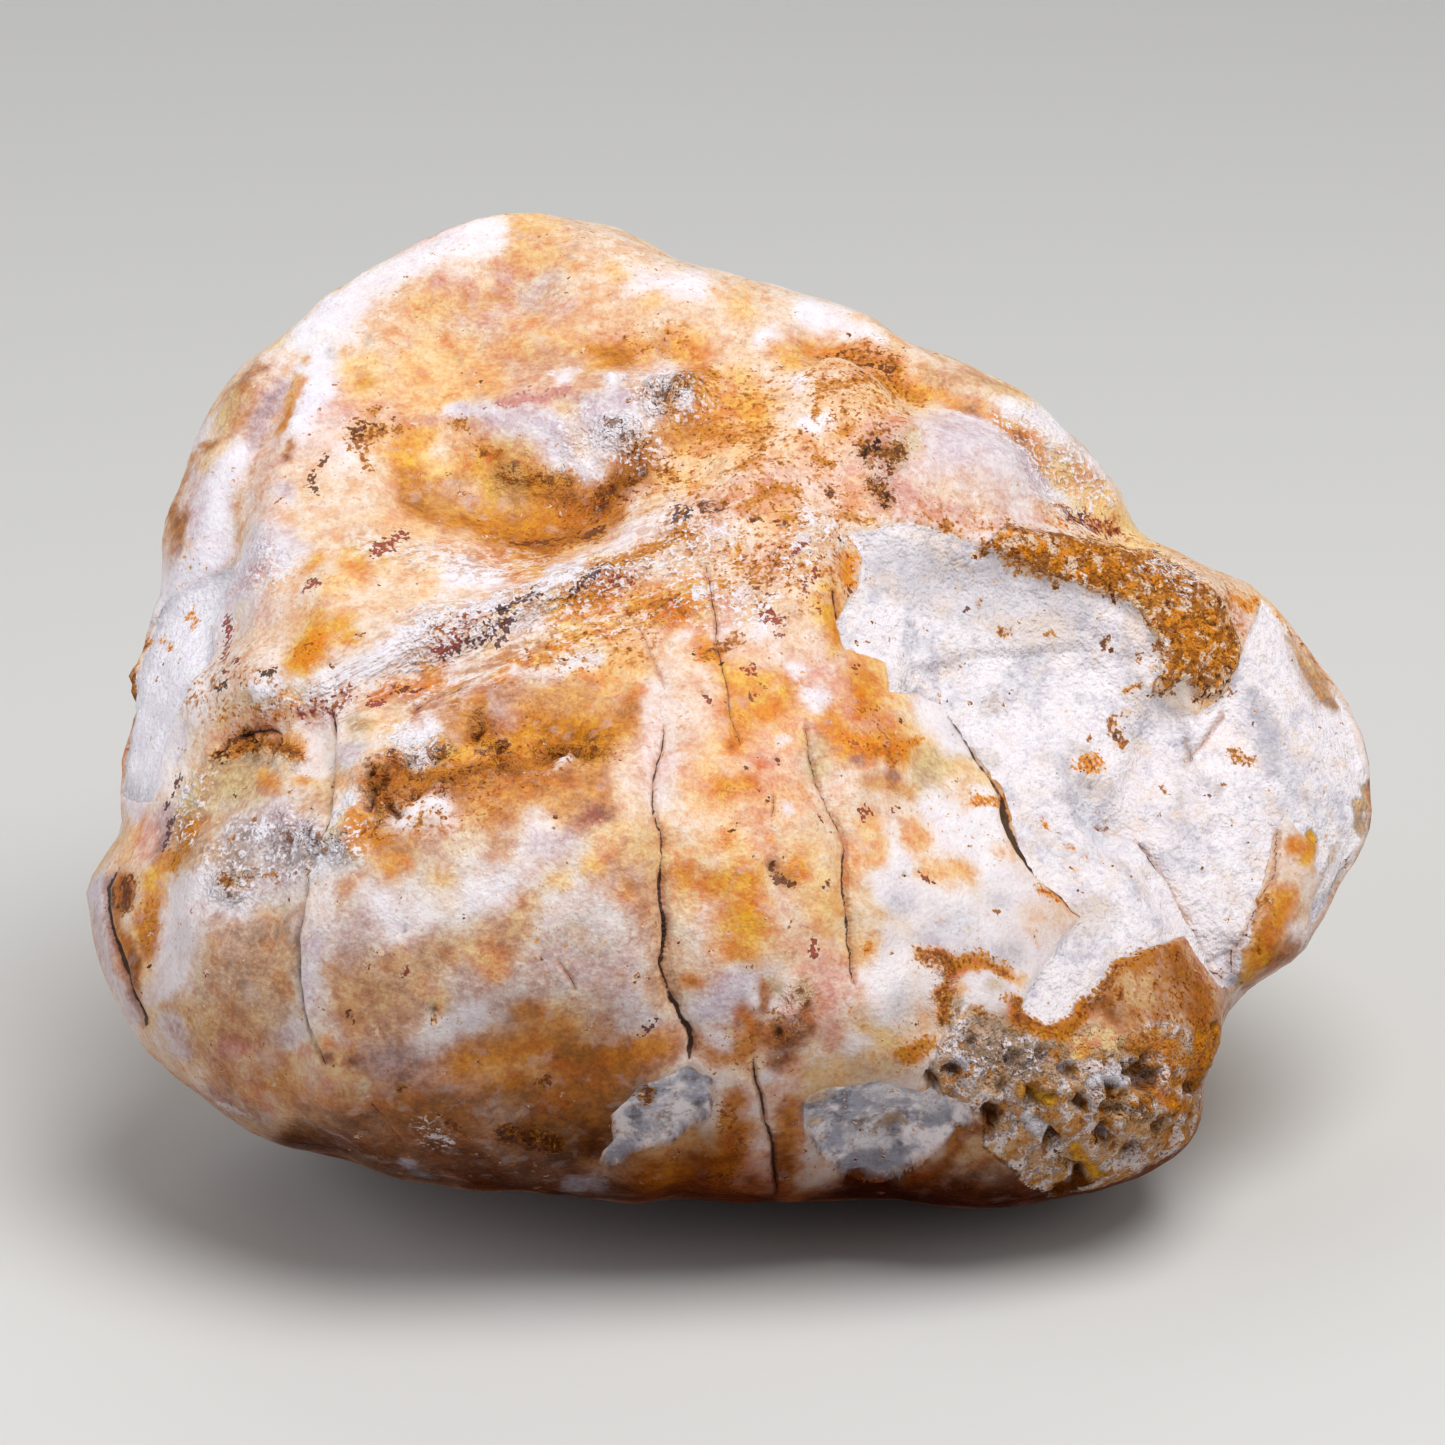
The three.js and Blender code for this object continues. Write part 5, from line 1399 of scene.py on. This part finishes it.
def touched(found, strokes_by_view):
    """How much of plain, colourless strokes each point takes."""
    cover = np.zeros(len(found["front"][1]))
    for view, (spots, weight) in found.items():
        for half_width, line in strokes_by_view[view]:
            away = from_line(spots, line, half_width * 2.4)[0]
            cover = np.maximum(cover, smooth(2.0, 0.0, away / half_width) * weight)
    return cover


def painted(points, found, made, colours):
    """The colour layers, each with how much it covers, and the plain values that the material reads."""

    def named(*names):
        return [np.array(getattr(colours, name)) for name in names]

    cream, pink, butter, white, gold, ochre = named("cream", "pink", "butter", "white", "gold", "ochre")
    broad, mid = waves(points, 9.0, 3, 21), waves(points, 5.0, 3, 22)
    ground = cream + (pink - cream) * smooth(0.0, 0.4, broad)[:, None]
    ground += (butter - ground) * smooth(0.0, 0.45, -mid)[:, None] * 0.7
    ground += (white - ground) * smooth(0.1, 0.5, waves(points, 6.0, 3, 23))[:, None] * 0.6
    ground = brushed(found, WASHES, colours, True, ground)[0]
    ground = brushed(found, TINTS, colours, True, ground)[0]
    covered = np.ones(len(points))

    # a few loose stains everywhere but on the broken face, more of them behind
    behind = 1 - found["front"][1]
    loose = 0.1 + 0.25 * smooth(0.1, 0.6, waves(points, 7.0, 3, 24)) * behind + 0.1 * mid
    loose_colour = gold + (ochre - gold) * smooth(-0.2, 0.3, waves(points, 3.0, 2, 25))[:, None]
    stain, stain_cover = brushed(found, STAINS, colours, False, loose_colour)
    stain_cover = np.maximum(stain_cover, loose * smooth(0.1, -0.1, made["fracture"]))

    # painted shade over the foot, with some brown stain: darker nearer the floor, by height in mm, fading
    # towards the back
    low = points[:, 2] + 3.2 * mid + 0.8 * waves(points, 1.6, 2, 26)
    shade_and_stain_below = 0.4 * smooth(22.0, 9.0, low) + 0.6 * smooth(11.0, 3.0, low)
    shade_and_stain_below *= 0.55 + 0.45 * smooth(8.0, -4.0, points[:, 1])
    layers = {
        "ground": (ground, covered),
        "tint": brushed(found, TINTS, colours, True),
        "stain": (stain, stain_cover),
        "streak": brushed(found, STREAKS, colours, False),
    }
    values = {
        **made,
        "shade_and_stain_below": shade_and_stain_below,
        "streaky": touched(found, STREAKY),
        "sugar": touched(found, SUGAR),
        "rugged": touched(found, RUGGED),
        "specks": touched(found, SPECKS),
    }
    return layers, values


# Values beyond this either way are all the same to the material.
VALUE_LIMIT = 3


def store(mesh, layers, values):
    """Keeps the colour layers and the plain values on the mesh, for the material to read."""
    for name, (colour_value, cover) in layers.items():
        coat = np.column_stack((colour_value, np.clip(cover, 0, 1))).astype(np.float32)
        mesh.attributes.new(name, "FLOAT_COLOR", "POINT").data.foreach_set("color", coat.ravel())
    for name, value in values.items():
        kept = np.clip(value, -VALUE_LIMIT, VALUE_LIMIT).astype(np.float32)
        mesh.attributes.new(name, "FLOAT", "POINT").data.foreach_set("value", kept)


# ---------------------------------------------------------------- the finish

# The finest lumps that any noise has, in mm.
FINEST_LUMPS = 0.07


class Finish:
    """A material's nodes, made by short calls."""

    def __init__(self, name):
        self.material = bpy.data.materials.new(name)
        self.material.use_nodes = True
        self.tree = self.material.node_tree
        self.tree.nodes.clear()
        self.output = self.tree.nodes.new("ShaderNodeOutputMaterial")
        self.shader = self.tree.nodes.new("ShaderNodeBsdfPrincipled")
        self.tree.links.new(self.shader.outputs[0], self.output.inputs[0])
        self.place = self.tree.nodes.new("ShaderNodeTexCoord").outputs["Object"]
        self.noises = {}

    def put(self, socket, value):
        """Links a socket to another, or gives it a number or a colour."""
        if hasattr(value, "is_output"):
            self.tree.links.new(value, socket)
        elif hasattr(value, "__len__") and len(value) == 3 and socket.type == "RGBA":
            socket.default_value = (*value, 1)
        else:
            socket.default_value = value

    def layer(self, name, part="Color"):
        """A colour layer stored on the mesh, or its Alpha."""
        found = self.tree.nodes.new("ShaderNodeAttribute")
        found.attribute_name = name
        return found.outputs[part]

    def value(self, name):
        """A plain value stored on the mesh."""
        return self.layer(name, "Fac")

    def noise(self, lumps, place=None):
        """Noise whose lumps are about this many mm across. Equal lumps share one node."""
        key = (lumps, place is None)
        if key not in self.noises:
            made = self.tree.nodes.new("ShaderNodeTexNoise")
            self.put(made.inputs["Vector"], place or self.place)
            made.inputs["Scale"].default_value = 1 / (lumps * MM)
            made.inputs["Detail"].default_value = int(math.log2(lumps / FINEST_LUMPS))
            made.inputs["Roughness"].default_value = 0.62 if lumps > 1 else 0.68
            self.noises[key] = made.outputs["Fac"]
        return self.noises[key]

    def drawn_out(self, tilt, long):
        """The place, tilted about the depth axis and shrunk along it, which draws noise out that way."""
        made = self.tree.nodes.new("ShaderNodeMapping")
        made.vector_type = "TEXTURE"
        self.put(made.inputs["Vector"], self.place)
        made.inputs["Rotation"].default_value = (0, -tilt, 0)
        made.inputs["Scale"].default_value = (long, 1.5, 1)
        return made.outputs["Vector"]

    def grains(self, size):
        """Distance from the nearest of scattered points about size mm apart, in sizes."""
        made = self.tree.nodes.new("ShaderNodeTexVoronoi")
        self.put(made.inputs["Vector"], self.place)
        made.inputs["Scale"].default_value = 1 / (size * MM)
        return made.outputs["Distance"]

    def maths(self, operation, *values):
        """One step of arithmetic."""
        made = self.tree.nodes.new("ShaderNodeMath")
        made.operation = operation
        for socket, value in zip(made.inputs, values):
            self.put(socket, value)
        return made.outputs[0]

    def both(self, *values):
        """Values multiplied together."""
        product = values[0]
        for value in values[1:]:
            product = self.maths("MULTIPLY", product, value)
        return product

    def most(self, *values):
        """The greatest of some values."""
        greatest = values[0]
        for value in values[1:]:
            greatest = self.maths("MAXIMUM", greatest, value)
        return greatest

    def unless(self, value, share=1.0):
        """1 where a value is 0, and less by this share of it elsewhere."""
        return self.maths("SUBTRACT", 1.0, self.both(value, share))

    def rise(self, value, low, high, bottom=0.0, top=1.0):
        """A soft change from bottom to top as value goes from low to high."""
        made = self.tree.nodes.new("ShaderNodeMapRange")
        made.interpolation_type = "SMOOTHSTEP"
        self.put(made.inputs["Value"], value)
        made.inputs["From Min"].default_value = low
        made.inputs["From Max"].default_value = high
        made.inputs["To Min"].default_value = bottom
        made.inputs["To Max"].default_value = top
        return made.outputs["Result"]

    def patches(self, lumps, low, high, bottom=0.0, top=1.0):
        """A soft change from bottom to top as noise of this size goes from low to high."""
        return self.rise(self.noise(lumps), low, high, bottom, top)

    def blend(self, share, first, second, way="MIX"):
        """A share of the second colour over the first."""
        made = self.tree.nodes.new("ShaderNodeMix")
        made.data_type = "RGBA"
        made.blend_type = way
        self.put(made.inputs["Factor"], share)
        self.put(made.inputs["A"], first)
        self.put(made.inputs["B"], second)
        return made.outputs["Result"]

    def darken(self, share, below, colour_value):
        """A share of a clear, dark coat over a colour."""
        return self.blend(share, below, colour_value, "MULTIPLY")

    def cloud(self, below, lumps, low, high, share):
        """Lightens and darkens a colour by noise of this size, and keeps its hue."""
        return self.blend(share, below, self.patches(lumps, low, high, 0.1, 0.9), "OVERLAY")

    def richness(self, colour_value):
        """How far a colour is from grey."""
        made = self.tree.nodes.new("ShaderNodeSeparateColor")
        made.mode = "HSV"
        self.put(made.inputs[0], colour_value)
        return made.outputs[1]

    def bump(self, height, distance, below=None):
        """Relief of this many mm on the skin, over the relief below it."""
        made = self.tree.nodes.new("ShaderNodeBump")
        made.inputs["Distance"].default_value = distance * MM
        self.put(made.inputs["Height"], height)
        if below is not None:
            self.put(made.inputs["Normal"], below)
        return made.outputs["Normal"]


# What speckles each kind of broken stone, from the bottom coat up: the lumps' size in mm, the noise at
# which they begin and at which they are full, how much they cover there, their colour and, for a coat
# that only darkens, how it is laid.
CHALK = [(2.6, 0.46, 0.66, 0.5, "slate"), (1.7, 0.5, 0.68, 0.4, "cream"), (0.6, 0.54, 0.66, 0.3, "slate")]
CHIPPED = [
    (1.7, 0.42, 0.6, 1.0, "broken"),
    (0.9, 0.48, 0.66, 0.9, "grey", "MULTIPLY"),
    (0.6, 0.56, 0.66, 0.5, "tan", "MULTIPLY"),
]
WALLS = [
    (1.7, 0.4, 0.6, 1.0, "tan"),
    (1.2, 0.49, 0.58, 0.85, "toffee"),
    (0.7, 0.54, 0.62, 0.75, "amber"),
    (0.9, 0.5, 0.56, 0.75, "broken"),
    (0.45, 0.56, 0.62, 0.6, "rust"),
]
CRUSTY = [(0.9, 0.49, 0.57, 0.85, "cream"), (0.7, 0.49, 0.56, 0.9, "amber"), (0.42, 0.56, 0.6, 1.0, "rust")]

# The clouds in the skin: the lumps' size in mm, the noise at which they are dark and at which they are
# light, and how strong they are.
CLOUDS = [(2.6, 0.38, 0.62, 0.22), (0.7, 0.38, 0.62, 0.22), (0.26, 0.36, 0.64, 0.16)]

# The fold's strands: how they tilt, in radians, and how many times longer they are than they are wide.
STRAND_TILT = 0.47
STRAND_LENGTH = 6.0


class StoneFinish(Finish):
    """The skin of the nodule: waxy, stained, chalky where broken, crusted and cracked."""

    def __init__(self, colours):
        super().__init__("chalcedony")
        self.colours = colours
        self.mid, self.fine, self.dust = self.noise(1.3), self.noise(0.45), self.noise(0.18)
        fine_mottle = self.maths("MULTIPLY_ADD", self.fine, 0.4, self.both(self.dust, 0.2))
        self.mottle = self.maths("MULTIPLY_ADD", self.mid, 0.4, fine_mottle)
        self.strands = self.noise(0.32, self.drawn_out(STRAND_TILT, STRAND_LENGTH))
        self.streaky = self.value("streaky")
        self.broken = self.edge("fracture", 0.5, -0.04, 0.05)
        self.pit = self.edge("pit", 1.2, 0.42, 0.58)
        self.porous = self.edge("porous", 1.6, 0.42, 0.58)
        self.crust = self.rise(self.ragged(self.value("crust"), 2.8, self.noise(0.9)), 0.44, 0.54)
        self.opened = self.most(self.broken, self.pit, self.porous)
        self.unbroken = self.unless(self.broken, 0.85)

        base = self.blend(self.broken, self.skin(), self.chalk())
        base = self.blend(self.pit, base, self.chipped())
        base = self.blend(self.porous, base, self.speckled(colours.fawn, WALLS))
        base = self.stained(self.washed(base))
        base = self.blend(self.crust, base, self.crusty())
        base = self.grainy(self.spotted(base))
        base = self.cracked(self.shade_and_stain_below(base))
        self.put(self.shader.inputs["Base Color"], base)
        self.gloss()
        self.relief()

    def ragged(self, value, amount, noise=None):
        """A value with its level lines broken up by noise."""
        away = self.maths("SUBTRACT", noise or self.mottle, 0.5)
        return self.maths("MULTIPLY_ADD", away, amount, value)

    def edge(self, name, amount, low, high):
        """Where an outlined place lies, with a ragged edge."""
        return self.rise(self.ragged(self.value(name), amount), low, high)

    def speckled(self, below, coats):
        """A colour with the lumps of some coats over it."""
        for lumps, low, high, cover, name, *way in coats:
            share = self.patches(lumps, low, high, 0, cover)
            below = self.blend(share, below, getattr(self.colours, name), *way)
        return below

    def skin(self):
        """The painted ground with clouds, grains and the folds' strands in it."""
        colours, skin = self.colours, self.layer("ground")
        warmth = self.rise(self.richness(skin), 0.1, 0.42, 0.12, 1.0)
        rich = self.rise(self.richness(skin), 0.36, 0.62, 0, 0.24)
        for cloud in CLOUDS:
            skin = self.cloud(skin, *cloud)
        skin = self.darken(self.both(self.patches(1.7, 0.52, 0.62, 0, 0.5), warmth), skin, colours.peach)
        skin = self.darken(self.both(self.patches(0.6, 0.56, 0.66, 0, 0.45), warmth), skin, colours.tan)
        skin = self.blend(self.patches(1.2, 0.54, 0.66, 0, 0.22), skin, colours.white)
        skin = self.darken(rich, skin, colours.peach)
        warm = self.rise(self.ragged(self.strands, 0.3, self.fine), 0.49, 0.4)
        skin = self.darken(self.both(warm, self.streaky, 0.5), skin, colours.toffee)
        pale = self.rise(self.ragged(self.strands, 0.4, self.dust), 0.54, 0.6)
        return self.blend(self.both(pale, self.streaky, 0.65), skin, colours.white)

    def chalk(self):
        """The broken face: chalky, with faint blue grey and cream clouds."""
        return self.cloud(self.speckled(self.colours.broken, CHALK), 0.42, 0.36, 0.64, 0.3)

    def chipped(self):
        """The pits: blue grey chipped stone, with painted shade and brown stain towards their edges."""
        rim_shade_and_stain = self.rise(self.value("pit"), 1.0, 0.5, 0, 0.6)
        return self.darken(rim_shade_and_stain, self.speckled(self.colours.slate, CHIPPED), self.colours.toffee)

    def crusty(self):
        """The rusty crust: ochre, with rusty lumps and pale gaps."""
        share = self.patches(1.7, 0.4, 0.56, 0.15, 0.8)
        return self.speckled(self.blend(share, self.colours.toffee, self.colours.orange), CRUSTY)

    def washed(self, base):
        """Washes over what is broken."""
        wash = self.blend(0.5, self.layer("tint"), self.rise(self.mottle, 0.4, 0.6, 0.1, 0.9), "OVERLAY")
        cover = self.rise(self.ragged(self.layer("tint", "Alpha"), 1.0), 0.15, 0.85)
        return self.blend(self.both(cover, self.opened), base, wash)

    def stained(self, base):
        """Iron stains in grains, with a soft halo and dark cores, then fine dark streaks."""
        cover, stain = self.layer("stain", "Alpha"), self.layer("stain")
        gate = self.rise(cover, 0.02, 0.2)
        halo = self.rise(self.ragged(cover, 2.0), 0.25, 0.9, 0, 0.55)
        base = self.darken(self.both(halo, gate), base, self.colours.gold)
        grainy = self.maths("MULTIPLY_ADD", self.mottle, 0.3, self.both(self.noise(0.24), 0.7))
        level = self.ragged(self.both(cover, 0.88), 3.0, grainy)
        stain = self.blend(self.patches(0.42, 0.48, 0.64, 0, 0.5), stain, self.colours.gold)
        stain = self.darken(self.rise(level, 0.75, 1.1, 0, 0.8), stain, self.colours.amber)
        base = self.blend(self.both(self.rise(level, 0.5, 0.62), gate, 0.92), base, stain)
        cover = self.layer("streak", "Alpha")
        streaks = self.rise(self.ragged(cover, 2.8, self.noise(0.24)), 0.5, 0.66)
        return self.blend(self.both(streaks, self.rise(cover, 0.05, 0.3), 0.92), base, self.layer("streak"))

    def spotted(self, base):
        """Orange brown specks with dark hearts, and dark pinholes."""
        colours, specks, speck = self.colours, self.value("specks"), self.noise(0.42)
        here = self.both(self.rise(specks, 0.1, 0.7), self.unbroken, self.patches(1.7, 0.4, 0.54, 0.15, 1))
        base = self.darken(self.both(self.rise(speck, 0.5, 0.6, 0, 0.6), here), base, colours.gold)
        heart = self.blend(self.rise(speck, 0.62, 0.7), colours.ochre, colours.rust)
        base = self.blend(self.both(self.rise(speck, 0.57, 0.61, 0, 0.85), here), base, heart)
        some = self.both(self.patches(1.7, 0.45, 0.58), self.unbroken)
        pinholes = self.both(self.rise(self.grains(0.5), 0.17, 0.1), some)
        return self.blend(self.both(pinholes, self.rise(specks, 0.1, 0.6, 0.06, 0.9)), base, colours.rust)

    def grainy(self, base):
        """Dusty dark grains, and white glints painted on the sugary skin."""
        near_specks = self.rise(self.value("specks"), 0.0, 0.8, 0.15, 0.8)
        dusty = self.both(self.patches(0.24, 0.6, 0.7), near_specks)
        base = self.darken(self.both(dusty, self.unbroken), base, self.colours.toffee)
        # painted white glints
        painted_glints = self.both(self.patches(0.26, 0.53, 0.6), self.patches(0.9, 0.4, 0.54))
        sugary = self.rise(self.value("sugar"), 0.05, 0.7)
        return self.blend(self.both(painted_glints, sugary, 0.9), base, self.colours.white)

    def shade_and_stain_below(self, base):
        """Painted shade with some brown stain on the underside, and the rusty pits of the rugged skin."""
        colours, dry = self.colours, self.unless(self.opened, 0.75)
        shade_and_stain_below = self.both(self.value("shade_and_stain_below"), self.both(dry, 0.94))
        # the underside's painted shade, laid in brown
        base = self.darken(shade_and_stain_below, base, colours.brown)
        base = self.darken(self.both(shade_and_stain_below, 0.25), base, colours.toffee)
        eaten = self.both(self.patches(0.6, 0.53, 0.6), self.rise(self.value("rugged"), 0.2, 0.8), 0.8)
        rusty = self.blend(self.rise(self.fine, 0.45, 0.6), colours.amber, colours.rust)
        return self.blend(eaten, base, rusty)

    def cracked(self, base):
        """Painted shade, rust to umber, deep in the holes; darker skin beside the cracks; and the cracks'
        insides painted dark as the shade in their gaps.
        """
        colours = self.colours
        # painted shade in the holes, darker where they are deeper
        hollow = self.rise(self.ragged(self.value("hollow"), 0.5, self.fine), 0.2, 0.8)
        hole_shade = self.blend(self.rise(self.mid, 0.4, 0.6), colours.rust, colours.umber)
        base = self.blend(self.both(hollow, self.rise(self.porous, 0, 1, 0.78, 0.6)), base, hole_shade)
        shut = self.maths("SUBTRACT", self.maths("ABSOLUTE", self.value("crack")), self.value("crack_open"))
        near = self.rise(self.ragged(shut, 0.7, self.mid), 0.3, 0.0)
        base = self.darken(self.both(near, 0.45), base, colours.toffee)
        # the crack's dark inside, painted as the shade in its gap
        crack = self.rise(self.ragged(shut, 0.12, self.fine), 0.02, -0.02)
        return self.blend(self.both(crack, 0.92), base, colours.crack)

    def gloss(self):
        """Waxy skin, and dull chalk and crust."""
        rough = self.patches(1.7, 0.35, 0.7, 0.34, 0.52)
        for mask, dullness in ((self.broken, 0.25), (self.crust, 0.35), (self.porous, 0.1)):
            rough = self.maths("ADD", rough, self.both(mask, dullness))
        sockets = self.shader.inputs
        self.put(sockets["Roughness"], self.maths("MINIMUM", rough, 0.95))
        # less reflective where the underside carries its painted shade
        self.put(sockets["IOR"], self.rise(self.value("shade_and_stain_below"), 0.1, 0.8, 1.54, 1.15))
        self.put(sockets["Specular IOR Level"], self.rise(self.value("shade_and_stain_below"), 0.1, 0.9, 0.24, 0.05))

    def relief(self):
        """The finest relief, too small for the mesh."""
        chalky = self.rise(self.value("fracture"), -0.04, 0.05, 0, 0.6)
        rough = self.most(chalky, self.value("sugar"), 0.25)
        spongy = self.rise(self.most(self.value("crust"), self.value("porous")), 0.42, 0.58)
        normal = None
        for height, distance in (
            (self.noise(1.2), 0.21),
            (self.both(self.strands, self.streaky), 0.3),
            (self.both(self.noise(0.26), rough), 0.28),
            (self.both(self.noise(0.6), self.value("rugged")), 0.5),
            (self.both(self.noise(0.42), spongy), 0.5),
        ):
            normal = self.bump(height, distance, normal)
        self.put(self.shader.inputs["Normal"], normal)


def floor_finish(colour_value):
    """The plain dull floor."""
    f = Finish("studio_floor")
    f.put(f.shader.inputs["Base Color"], colour_value)
    f.shader.inputs["Roughness"].default_value = 0.9
    f.shader.inputs["Specular IOR Level"].default_value = 0.1
    return f.material


# ---------------------------------------------------------------- the stage's lamps

# Each lamp's name, power in watts, size and place in metres, and tone.
LAMPS = [
    ("key", 1.78, 0.34, (0.1, -0.12, 0.44), (1.0, 1.0, 1.0)),
    ("left_fill", 0.85, 0.4, (-0.42, -0.14, 0.2), (0.94, 0.95, 1.0)),
    ("right_fill", 0.4, 0.4, (0.42, -0.16, 0.26), (1.0, 1.0, 1.0)),
    ("back_fill", 0.4, 0.4, (-0.1, 0.42, 0.34), (1.0, 1.0, 1.0)),
]
LAMP_AIM = (0, 0, 0.022)
FLOOR_HALF = 3.0
AIR_TONE = (0.95, 0.97, 1.0)
AIR_STRENGTH = 0.16


def add_lamp(scene, name, power, size, place, tone):
    """Stands a soft round lamp, turned towards the stone's middle."""
    light = bpy.data.lights.new(name, "AREA")
    light.shape = "DISK"
    light.size = size
    light.energy = power
    light.color = tone
    stood = bpy.data.objects.new(name, light)
    stood.location = place
    stood.rotation_euler = (Vector(LAMP_AIM) - Vector(place)).to_track_quat("-Z", "Y").to_euler()
    scene.collection.objects.link(stood)


def add_air(scene):
    """Lights the stone a little from everywhere."""
    world = bpy.data.worlds.new("studio_air")
    world.use_nodes = True
    background = world.node_tree.nodes["Background"]
    background.inputs["Color"].default_value = (*AIR_TONE, 1)
    background.inputs["Strength"].default_value = AIR_STRENGTH
    scene.world = world


def add_camera(scene):
    """Stands the camera where the front view is seen from."""
    back = Vector(to_camera("front"))
    lens = bpy.data.cameras.new("studio_camera")
    lens.lens = LENS
    lens.sensor_width = SENSOR
    lens.clip_start, lens.clip_end = 0.01, 10
    camera = bpy.data.objects.new("studio_camera", lens)
    camera.location = (Vector(CAMERA_TARGET) + back * CAMERA_DISTANCE) * MM
    camera.rotation_euler = (-back).to_track_quat("-Z", "Y").to_euler()
    scene.collection.objects.link(camera)
    scene.camera = camera


# ---------------------------------------------------------------- the operators

# Heights above the floor, in mm, between which the relief fades in, so that the stone still lies flat.
SEAT_FADE = (0.15, 1.6)

# How far marks wander before they are carved and before they are painted, in pixels: in broad lumps and
# in fine ones.
CARVED_WANDER = (3, 1.5)
PAINTED_WANDER = (9, 5)


class AddNodule(bpy.types.Operator):
    """Carve and paint the chalcedony nodule from its CAD solid"""

    bl_idname = "chalcedony.nodule"
    bl_label = "Chalcedony nodule"

    def execute(self, context):
        scene = context.scene
        sizes, colours = scene.nodule_sizes, scene.nodule_colours
        shape = skin_shape(sizes)
        points, normals = mesh_points(shape)
        carved_at = in_views(points, normals, wandering(points, *CARVED_WANDER))
        raised, made = relief(points, carved_at, sizes)
        painted_at = in_views(points, normals, wandering(points, *PAINTED_WANDER))
        layers, values = painted(points, painted_at, made, colours)
        moved = points + normals * (raised * smooth(*SEAT_FADE, points[:, 2]))[:, None]
        low, high = (np.array(corner) / MM for corner in CAD_BOX)
        for vert, place in zip(shape.verts, np.clip(moved, low, high) * MM):
            vert.co = place
        for face in shape.faces:
            face.smooth = True
        mesh = bpy.data.meshes.new("nodule_skin")
        shape.to_mesh(mesh)
        shape.free()
        store(mesh, layers, values)
        mesh.materials.append(StoneFinish(colours).material)
        nodule = bpy.data.objects.new("nodule_skin", mesh)
        scene.collection.objects.link(nodule)
        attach(nodule, "root")
        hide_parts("nodule")
        return {"FINISHED"}


class AddStage(bpy.types.Operator):
    """Set the floor, the soft lights and the camera"""

    bl_idname = "chalcedony.stage"
    bl_label = "Studio stage"

    def execute(self, context):
        scene = context.scene
        shape = bmesh.new()
        bmesh.ops.create_grid(shape, x_segments=1, y_segments=1, size=FLOOR_HALF)
        mesh = bpy.data.meshes.new("studio_floor")
        shape.to_mesh(mesh)
        shape.free()
        mesh.materials.append(floor_finish(scene.stage_colours.floor))
        floor = bpy.data.objects.new("studio_floor", mesh)
        scene.collection.objects.link(floor)
        for lamp in LAMPS:
            add_lamp(scene, *lamp)
        add_air(scene)
        add_camera(scene)
        scene.view_settings.view_transform = "Standard"
        return {"FINISHED"}


class ChalcedonyPanel(bpy.types.Panel):
    """Lists what the add-on makes"""

    bl_idname = "VIEW3D_PT_chalcedony"
    bl_label = "Chalcedony"
    bl_space_type = "VIEW_3D"
    bl_region_type = "UI"
    bl_category = "Chalcedony"

    def draw(self, context):
        for operator in OPERATORS:
            self.layout.operator(operator.bl_idname)


OPERATORS = (AddNodule, AddStage)
CLASSES = (*GROUPS.values(), *OPERATORS, ChalcedonyPanel)


def register():
    for each in CLASSES:
        bpy.utils.register_class(each)
    for name, group in GROUPS.items():
        setattr(bpy.types.Scene, name, PointerProperty(type=group))


def unregister():
    for name in GROUPS:
        delattr(bpy.types.Scene, name)
    for each in reversed(CLASSES):
        bpy.utils.unregister_class(each)


def main():
    register()
    bpy.ops.chalcedony.nodule()
    bpy.ops.chalcedony.stage()


if __name__ == "__main__":
    main()
